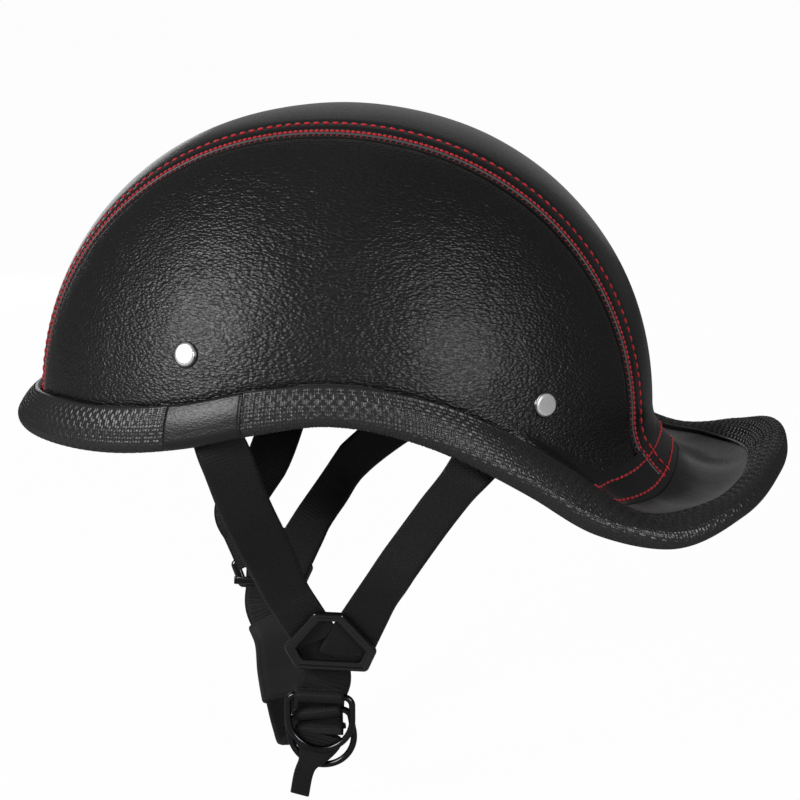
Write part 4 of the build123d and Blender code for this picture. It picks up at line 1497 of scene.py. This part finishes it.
class HELMET_OT_chin_strap(bpy.types.Operator):
    """Make the ring strap, the chin strap with its fold and tail, and the padded sleeve"""

    bl_idname = "helmet.chin_strap"
    bl_label = "Chin strap"

    def execute(self, context):
        rib = context.scene.helmet_sizes.rib_pitch / MM
        cloth = helmet_material("Webbing")
        parts = [webbing_mesh("ring_strap_run", drop_stations(), rib)]
        for bar, roll in ((outer_bar, 0.0), (inner_bar, inner_roll)):
            parts.append(self.loop(bar, roll, rib))
        made = join_as("ring_strap_webbing", parts)
        made.data.shade_smooth()
        finish_piece(made, cloth, "helmet", ["left_ring_strap"])

        stations = chin_stations()
        fold = fold_stations()
        stations.append((fold[0][0], None))
        run = webbing_mesh("chin_run", stations, rib)
        bend = webbing_mesh("chin_fold", fold, rib)
        made = join_as("chin_strap_webbing", [run, bend])
        made.data.shade_smooth()
        finish_piece(made, cloth, "helmet", ["chin_strap"])

        tail = [(fold[-1][0], Vector((0, -1, 0)))]
        tail += [(Vector(place), Vector((0, -1, 0))) for place in tail_free]
        made = webbing_mesh("strap_tail_webbing", tail, rib, tip_width=tail_tip_width)
        finish_piece(made, cloth, "helmet", ["strap_tail"])

        made = self.sleeve(stations)
        finish_piece(made, helmet_material("Sleeve cloth"), "helmet", ["chin_sleeve"])
        return {"FINISHED"}

    def loop(self, bar, roll, rib):
        """Webbing sewn round a ring's bar."""
        plane = ring_plane(bar, roll)
        radius = ring_wire_radius + wire_gap + webbing_thickness / 2
        stations = []
        for turn in range(-60, 241, 20):
            angle = radians(turn)
            out = plane.y_dir * sin(angle) + plane.z_dir * cos(angle)
            stations.append((plane.origin + out * radius, out))
        return webbing_mesh("bar_loop", stations, rib)

    def sleeve(self, stations):
        """Padded sleeve with a piped edge and a seam along its inner face."""
        places, looks, even = smooth_path(stations, 0.9)
        along, across, outward = strap_frames(places, looks)
        low, high = (int(len(places) * share) for share in sleeve_share)
        places, along = places[low:high], along[low:high]
        across, outward, even = across[low:high], outward[low:high], even[low:high] - even[low]
        sides = 44
        grid = np.zeros((len(places), sides, 3))
        uv = np.zeros((len(places), sides, 2))
        share = even / even[-1]
        ends = np.clip(np.minimum(share, 1 - share) / 0.045, 0, 1)
        ends = np.sqrt(1 - (1 - ends) ** 2)
        for k in range(sides):
            angle = 2 * pi * k / sides
            c, s = cos(angle), sin(angle)
            wide = sleeve_half_width * np.sign(c) * abs(c) ** 0.55
            tall = np.sign(s) * abs(s) ** 0.8
            swell = sleeve_half_thickness + sleeve_padding * ends + 0.12 * np.sin(even * 0.35) * ends
            seam = dip(abs(wide) - sleeve_seam_place, (0.5, 0.6))
            height = tall * (swell - seam * ends)
            aside = wide * (0.93 + 0.07 * ends)
            grid[:, k] = places + across * aside[:, None] + outward * height[:, None]
            uv[:, k] = np.stack([even, np.full(len(even), wide + (0 if s >= 0 else 60.0))], axis=1)
        made = grid_mesh("padded_sleeve", grid, uv, loop=True, cap=True)
        face_outwards(made)
        return made


class HELMET_OT_d_rings(bpy.types.Operator):
    """Make the two wire rings of the buckle"""

    bl_idname = "helmet.d_rings"
    bl_label = "D rings"

    def execute(self, context):
        for name, bar, roll, body in (
            ("outer_ring_wire", outer_bar, 0.0, "outer_ring"),
            ("inner_ring_wire", inner_bar, inner_roll, "inner_ring"),
        ):
            path = self.path(ring_plane(bar, roll))
            made = tube_mesh(name, path, ring_wire_radius, sides=24, loop=True)
            node = "outer_d_ring" if body == "outer_ring" else "inner_d_ring"
            finish_piece(made, helmet_material("Ring metal"), body, [node])
        return {"FINISHED"}

    def path(self, plane):
        """Even points round a ring: a straight bar, two tight corners and a round bow."""
        side, corner, bow = ring_half_width, ring_corner, -(ring_height - ring_half_width)
        points = []
        for i in range(24):
            points.append((-side + corner + (2 * side - 2 * corner) * i / 24, 0))
        for i in range(14):
            angle = radians(90 - 90 * i / 14)
            points.append((side - corner + corner * cos(angle), -corner + corner * sin(angle)))
        for i in range(8):
            points.append((side, -corner + (bow + corner) * i / 8))
        for i in range(60):
            angle = -pi * i / 60
            points.append((side * cos(angle), bow + side * sin(angle)))
        for i in range(8):
            points.append((-side, bow + (-corner - bow) * i / 8))
        for i in range(14):
            angle = radians(180 - 90 * i / 14)
            points.append((-side + corner + corner * cos(angle), -corner + corner * sin(angle)))
        return [list(plane.at(x, y)) for x, y in points]


class HELMET_OT_strap_dividers(bpy.types.Operator):
    """Make the two moulded dividers, with a raised rim and a bridge behind the webbing"""

    bl_idname = "helmet.strap_dividers"
    bl_label = "Strap dividers"

    def execute(self, context):
        for side_name, side in sides_of_head:
            centre = left_divider_centre if side < 0 else right_divider_centre
            plane = divider_plane(side, centre)
            parts = [self.frame_mesh(plane)]
            back = strap_layer - divider_running_gap - webbing_thickness * 1.5 - divider_running_gap
            post_x = divider_base_half_width + bridge_inset
            high, front = divider_base + bridge_width, 0.4 - divider_thickness / 2
            for x in (post_x, -post_x):
                depth, size = (front, back - bridge_thickness), (bridge_post, bridge_width)
                parts.append(self.bar(plane, (x, high), size, depth, "bridge_post"))
            depth = (back, back - bridge_thickness)
            parts.append(self.bar(plane, (0, high), (2 * post_x, bridge_width), depth, "bridge_bar"))
            made = join_as(side_name + "_divider_frame", parts)
            made.data.shade_smooth()
            node = side_name + "_divider"
            finish_piece(made, helmet_material("Glossy divider"), node, [node])
        return {"FINISHED"}

    def corner(self, inset, number):
        """Corner of the divider's outline moved inwards."""
        shape = (
            (divider_base_half_width, divider_base), (divider_half_width, divider_shoulder),
            (divider_top_half_width, divider_top), (-divider_top_half_width, divider_top),
            (-divider_half_width, divider_shoulder), (-divider_base_half_width, divider_base),
        )
        here, before, after = (Vector(shape[(number + i) % 6]) for i in (0, -1, 1))
        first, second = (here - before).normalized(), (after - here).normalized()
        out_first, out_second = Vector((first.y, -first.x)), Vector((second.y, -second.x))
        middle = (out_first + out_second).normalized()
        return here - middle * (inset / middle.dot(out_first)), out_first, out_second

    def frame_mesh(self, plane):
        """Rounded frame whose inner edge falls away from a raised rim."""
        turns, around = 9, 28
        grid = []
        for number in range(6):
            for i in range(turns):
                ring = []
                for k in range(around):
                    angle = 2 * pi * k / around
                    c, s = cos(angle), sin(angle)
                    inset = divider_bar / 2 * (1 - np.sign(c) * abs(c) ** divider_round)
                    height = divider_thickness / 2 * np.sign(s) * abs(s) ** divider_round
                    if s > 0:
                        fall = ease(held((inset - divider_rim_width) / divider_fall_width))
                        height -= divider_fall_depth * fall * s
                    radius = max(divider_corner - inset, divider_window_corner)
                    corner, first, second = self.corner(inset + radius, number)
                    turn = first.angle_signed(second) * i / (turns - 1)
                    ahead, aside = cos(turn), sin(turn)
                    out = Vector((first.x * ahead + first.y * aside, first.y * ahead - first.x * aside))
                    flat = corner + out * radius
                    ring.append(list(plane.at(flat.x, flat.y, height)))
                grid.append(ring)
        grid.append(grid[0])
        made = grid_mesh("divider_rim", np.array(grid), loop=True)
        face_outwards(made, weld=True)
        return made

    def bar(self, plane, middle, size, depth, name):
        """Block with rounded edges, set against the divider's plane."""
        bm = bmesh.new()
        bmesh.ops.create_cube(bm, size=1)
        deep, half_way = abs(depth[0] - depth[1]), (depth[0] + depth[1]) / 2
        for vert in bm.verts:
            x, y, z = vert.co
            place = (middle[0] + x * size[0], middle[1] + y * size[1], half_way + z * deep)
            vert.co = plane.at(*place) * MM
        bmesh.ops.recalc_face_normals(bm, faces=bm.faces)
        bmesh.ops.bevel(bm, geom=bm.edges[:], offset=0.5 * MM, segments=3, profile=0.5, affect="EDGES")
        return mesh_object(name, bm)


class HELMET_OT_plain_nodes(bpy.types.Operator):
    """Give the shell, liner and small parts their finish"""

    bl_idname = "helmet.plain_nodes"
    bl_label = "Shell and liner"

    def execute(self, context):
        finishes = {
            "hard_shell": "Moulded plastic",
            "foam_liner": "Liner foam",
            "brim_underside": "Lining felt",
            "rivet_washers": "Washer steel",
        }
        for node, name in finishes.items():
            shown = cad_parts[node]
            shown.data.materials.clear()
            shown.data.materials.append(helmet_material(name))
        return {"FINISHED"}


# pads


class HELMET_OT_comfort_pads(bpy.types.Operator):
    """Make the quilted pads that line the shell"""

    bl_idname = "helmet.comfort_pads"
    bl_label = "Comfort pads"

    def execute(self, context):
        pads = {
            "front": ("end", -1, 38.0, 55.0, 22.0),
            "rear": ("end", 1, 34.0, 55.0, 22.0),
            "left": ("side", -1, 62.0, 48.0, 22.0),
            "right": ("side", 1, 62.0, 48.0, 22.0),
            "crown": ("crown", 0, 0.0, 50.0, 50.0),
        }
        for name, shape in pads.items():
            made = self.pad(name + "_pad_cushion", *shape)
            finish_piece(made, helmet_material("Pad cloth"), "helmet", [name + "_pad"])
        return {"FINISHED"}

    def place(self, kind, sign, middle, s, t, reach, tall, inset):
        """Point of the liner's inside for places s and t of a pad, from -1 to 1."""
        a, b, h = half_length - inset, half_width - inset, dome_height - inset
        if kind == "crown":
            x, y = s * reach, t * tall
            share = sqrt((x / a) ** 2 + (y / b) ** 2)
            return Vector((x, y, h * (1 - share**dome_power) ** (1 / dome_power)))
        z = middle + t * tall
        share = height_share(z, inset)
        if kind == "end":
            y = s * reach
            return Vector((sign * a * sqrt(share**2 - (y / b) ** 2), y, z))
        x = s * reach
        return Vector((x, sign * b * sqrt(share**2 - (x / a) ** 2), z))

    def pad(self, name, kind, sign, middle, reach, tall):
        """Crowned cushion with its sides drawn in between its corners and sewn channels across it."""
        pitch = bpy.context.scene.helmet_sizes.quilt_pitch / MM
        count = pad_points
        layers = []
        for outer in (True, False):
            grid = np.zeros((count, count, 3))
            for i in range(count):
                for k in range(count):
                    s, t = -1 + 2 * i / (count - 1), -1 + 2 * k / (count - 1)
                    if kind == "crown":
                        flat_s = s * sqrt(max(1 - t * t / 2, 0))
                        flat_t = t * sqrt(max(1 - s * s / 2, 0))
                    else:
                        flat_s = s * (0.985 - 0.03 * (1 - t * t))
                        flat_t = t * (0.985 - 0.05 * (1 - s * s))
                    puff = max((1 - abs(s) ** 7) * (1 - abs(t) ** 7), 0) ** 0.5
                    channel = 0.62 + 0.38 * abs(sin(pi * flat_s * reach / pitch)) ** 0.6
                    if outer:
                        depth = pad_middle - pad_back * puff
                    else:
                        depth = pad_middle + (pad_thickness - 2.9) * puff * channel
                    inset = depth_pad + depth
                    grid[i, k] = self.place(kind, sign, middle, flat_s, flat_t, reach, tall, inset)
            layers.append(grid)
        bm = bmesh.new()
        for grid in layers:
            verts = [[bm.verts.new(Vector(grid[i, k]) * MM) for k in range(count)] for i in range(count)]
            for i in range(count - 1):
                for k in range(count - 1):
                    bm.faces.new((verts[i][k], verts[i + 1][k], verts[i + 1][k + 1], verts[i][k + 1]))
        bmesh.ops.remove_doubles(bm, verts=bm.verts, dist=2e-5)
        bmesh.ops.recalc_face_normals(bm, faces=bm.faces)
        made = mesh_object(name, bm)
        mesh = made.data
        layer = mesh.uv_layers.new(name="Surface")
        first, second = {"crown": (0, 1), "end": (1, 2), "side": (0, 2)}[kind]
        for loop in mesh.loops:
            place = mesh.vertices[loop.vertex_index].co
            layer.data[loop.index].uv = (place[first], place[second])
        mesh.shade_smooth()
        return made


# stage


class HELMET_OT_stage(bpy.types.Operator):
    """Make the floor, the lights and the camera"""

    bl_idname = "helmet.stage"
    bl_label = "Stage"

    def execute(self, context):
        scene = context.scene
        scene.view_settings.view_transform = "Standard"
        self.floor(tuple(scene.helmet_colours.backdrop))
        self.world()
        for name, lamp in lamps.items():
            self.lamp(name, *lamp)
        self.camera()
        return {"FINISHED"}

    def seen_directly(self, tree):
        """1 for the camera's own rays and those through glass, and 0 for all others."""
        rays = tree.nodes.new("ShaderNodeLightPath").outputs
        return math_node(tree, "MAXIMUM", rays["Is Camera Ray"], rays["Is Transmission Ray"])

    def floor(self, colour):
        mesh = bpy.data.meshes.new("floor")
        signs = ((-1, -1), (1, -1), (1, 1), (-1, 1))
        corners = [(x * floor_reach, y * floor_reach, floor_height * MM) for x, y in signs]
        mesh.from_pydata(corners, [], [(0, 1, 2, 3)])
        floor = new_object("floor", mesh)
        material = bpy.data.materials.new("Pale floor")
        material.use_nodes = True
        tree = material.node_tree
        shader = tree.nodes["Principled BSDF"]
        shader.inputs["Base Color"].default_value = (*colour, 1)
        shader.inputs["Roughness"].default_value = 0.9
        shader.inputs["Specular IOR Level"].default_value = 0.1
        glow = add_node(tree, "ShaderNodeEmission", {"Color": (1, 1, 1, 1), "Strength": 1.05})
        amount = math_node(tree, "MULTIPLY", self.seen_directly(tree), 0.93)
        inputs = {"Fac": amount, 1: shader.outputs[0], 2: glow.outputs[0]}
        mix = add_node(tree, "ShaderNodeMixShader", inputs)
        tree.links.new(mix.outputs[0], tree.nodes["Material Output"].inputs["Surface"])
        mesh.materials.append(material)

    def world(self):
        world = bpy.data.worlds.new("Soft studio")
        world.use_nodes = True
        tree = world.node_tree
        background = tree.nodes["Background"]
        background.inputs["Color"].default_value = (1, 1, 1, 1)
        strength = math_node(tree, "ADD", math_node(tree, "MULTIPLY", self.seen_directly(tree), 0.9), 0.1)
        tree.links.new(strength, background.inputs["Strength"])
        bpy.context.scene.world = world

    def lamp(self, name, place, size, power):
        light = bpy.data.lights.new(name, "AREA")
        light.shape = "DISK"
        light.size = size
        light.energy = power
        lamp = new_object(name, light)
        lamp.location = place
        lamp.rotation_mode = "QUATERNION"
        lamp.rotation_quaternion = (Vector(lamp_aim) - Vector(place)).to_track_quat("-Z", "Y")

    def camera(self):
        a, e = radians(camera_azimuth), radians(camera_elevation)
        back = Vector((sin(a) * cos(e), -cos(a) * cos(e), sin(e)))
        data = bpy.data.cameras.new("camera")
        data.sensor_width = sensor_width
        data.lens = focal_pixels / image_pixels * sensor_width
        data.clip_end = 100.0
        camera = new_object("camera", data)
        camera.location = (Vector(camera_target) + back * camera_distance) * MM
        camera.rotation_mode = "QUATERNION"
        camera.rotation_quaternion = (-back).to_track_quat("-Z", "Y")
        bpy.context.scene.camera = camera


STEPS = (
    HELMET_OT_stage,
    HELMET_OT_plain_nodes,
    HELMET_OT_crown_panel,
    HELMET_OT_side_panels,
    HELMET_OT_rear_band_and_brim,
    HELMET_OT_edge_trim,
    HELMET_OT_seam_piping,
    HELMET_OT_stitching,
    HELMET_OT_rivets,
    HELMET_OT_harness_webbing,
    HELMET_OT_chin_strap,
    HELMET_OT_strap_dividers,
    HELMET_OT_d_rings,
    HELMET_OT_comfort_pads,
)


class HELMET_PT_panel(bpy.types.Panel):
    """Lists the steps that dress the helmet"""

    bl_label = "Half shell helmet"
    bl_idname = "HELMET_PT_panel"
    bl_space_type = "VIEW_3D"
    bl_region_type = "UI"
    bl_category = "Helmet"

    def draw(self, context):
        layout = self.layout
        for group in (context.scene.helmet_sizes, context.scene.helmet_colours):
            box = layout.box()
            for name in group.bl_rna.properties.keys():
                if name not in ("rna_type", "name"):
                    box.prop(group, name)
        for step in STEPS:
            layout.operator(step.bl_idname)


CLASSES = (HelmetSizes, HelmetColours, *STEPS, HELMET_PT_panel)


def register():
    for made in CLASSES:
        bpy.utils.register_class(made)
    bpy.types.Scene.helmet_sizes = PointerProperty(type=HelmetSizes)
    bpy.types.Scene.helmet_colours = PointerProperty(type=HelmetColours)


def unregister():
    del bpy.types.Scene.helmet_colours
    del bpy.types.Scene.helmet_sizes
    for made in reversed(CLASSES):
        bpy.utils.unregister_class(made)


def main():
    register()
    bpy.ops.helmet.stage()
    bpy.ops.helmet.plain_nodes()
    bpy.ops.helmet.crown_panel()
    bpy.ops.helmet.side_panels()
    bpy.ops.helmet.rear_band_and_brim()
    bpy.ops.helmet.edge_trim()
    bpy.ops.helmet.seam_piping()
    bpy.ops.helmet.stitching()
    bpy.ops.helmet.rivets()
    bpy.ops.helmet.harness_webbing()
    bpy.ops.helmet.chin_strap()
    bpy.ops.helmet.strap_dividers()
    bpy.ops.helmet.d_rings()
    bpy.ops.helmet.comfort_pads()


if __name__ == "__main__":
    main()
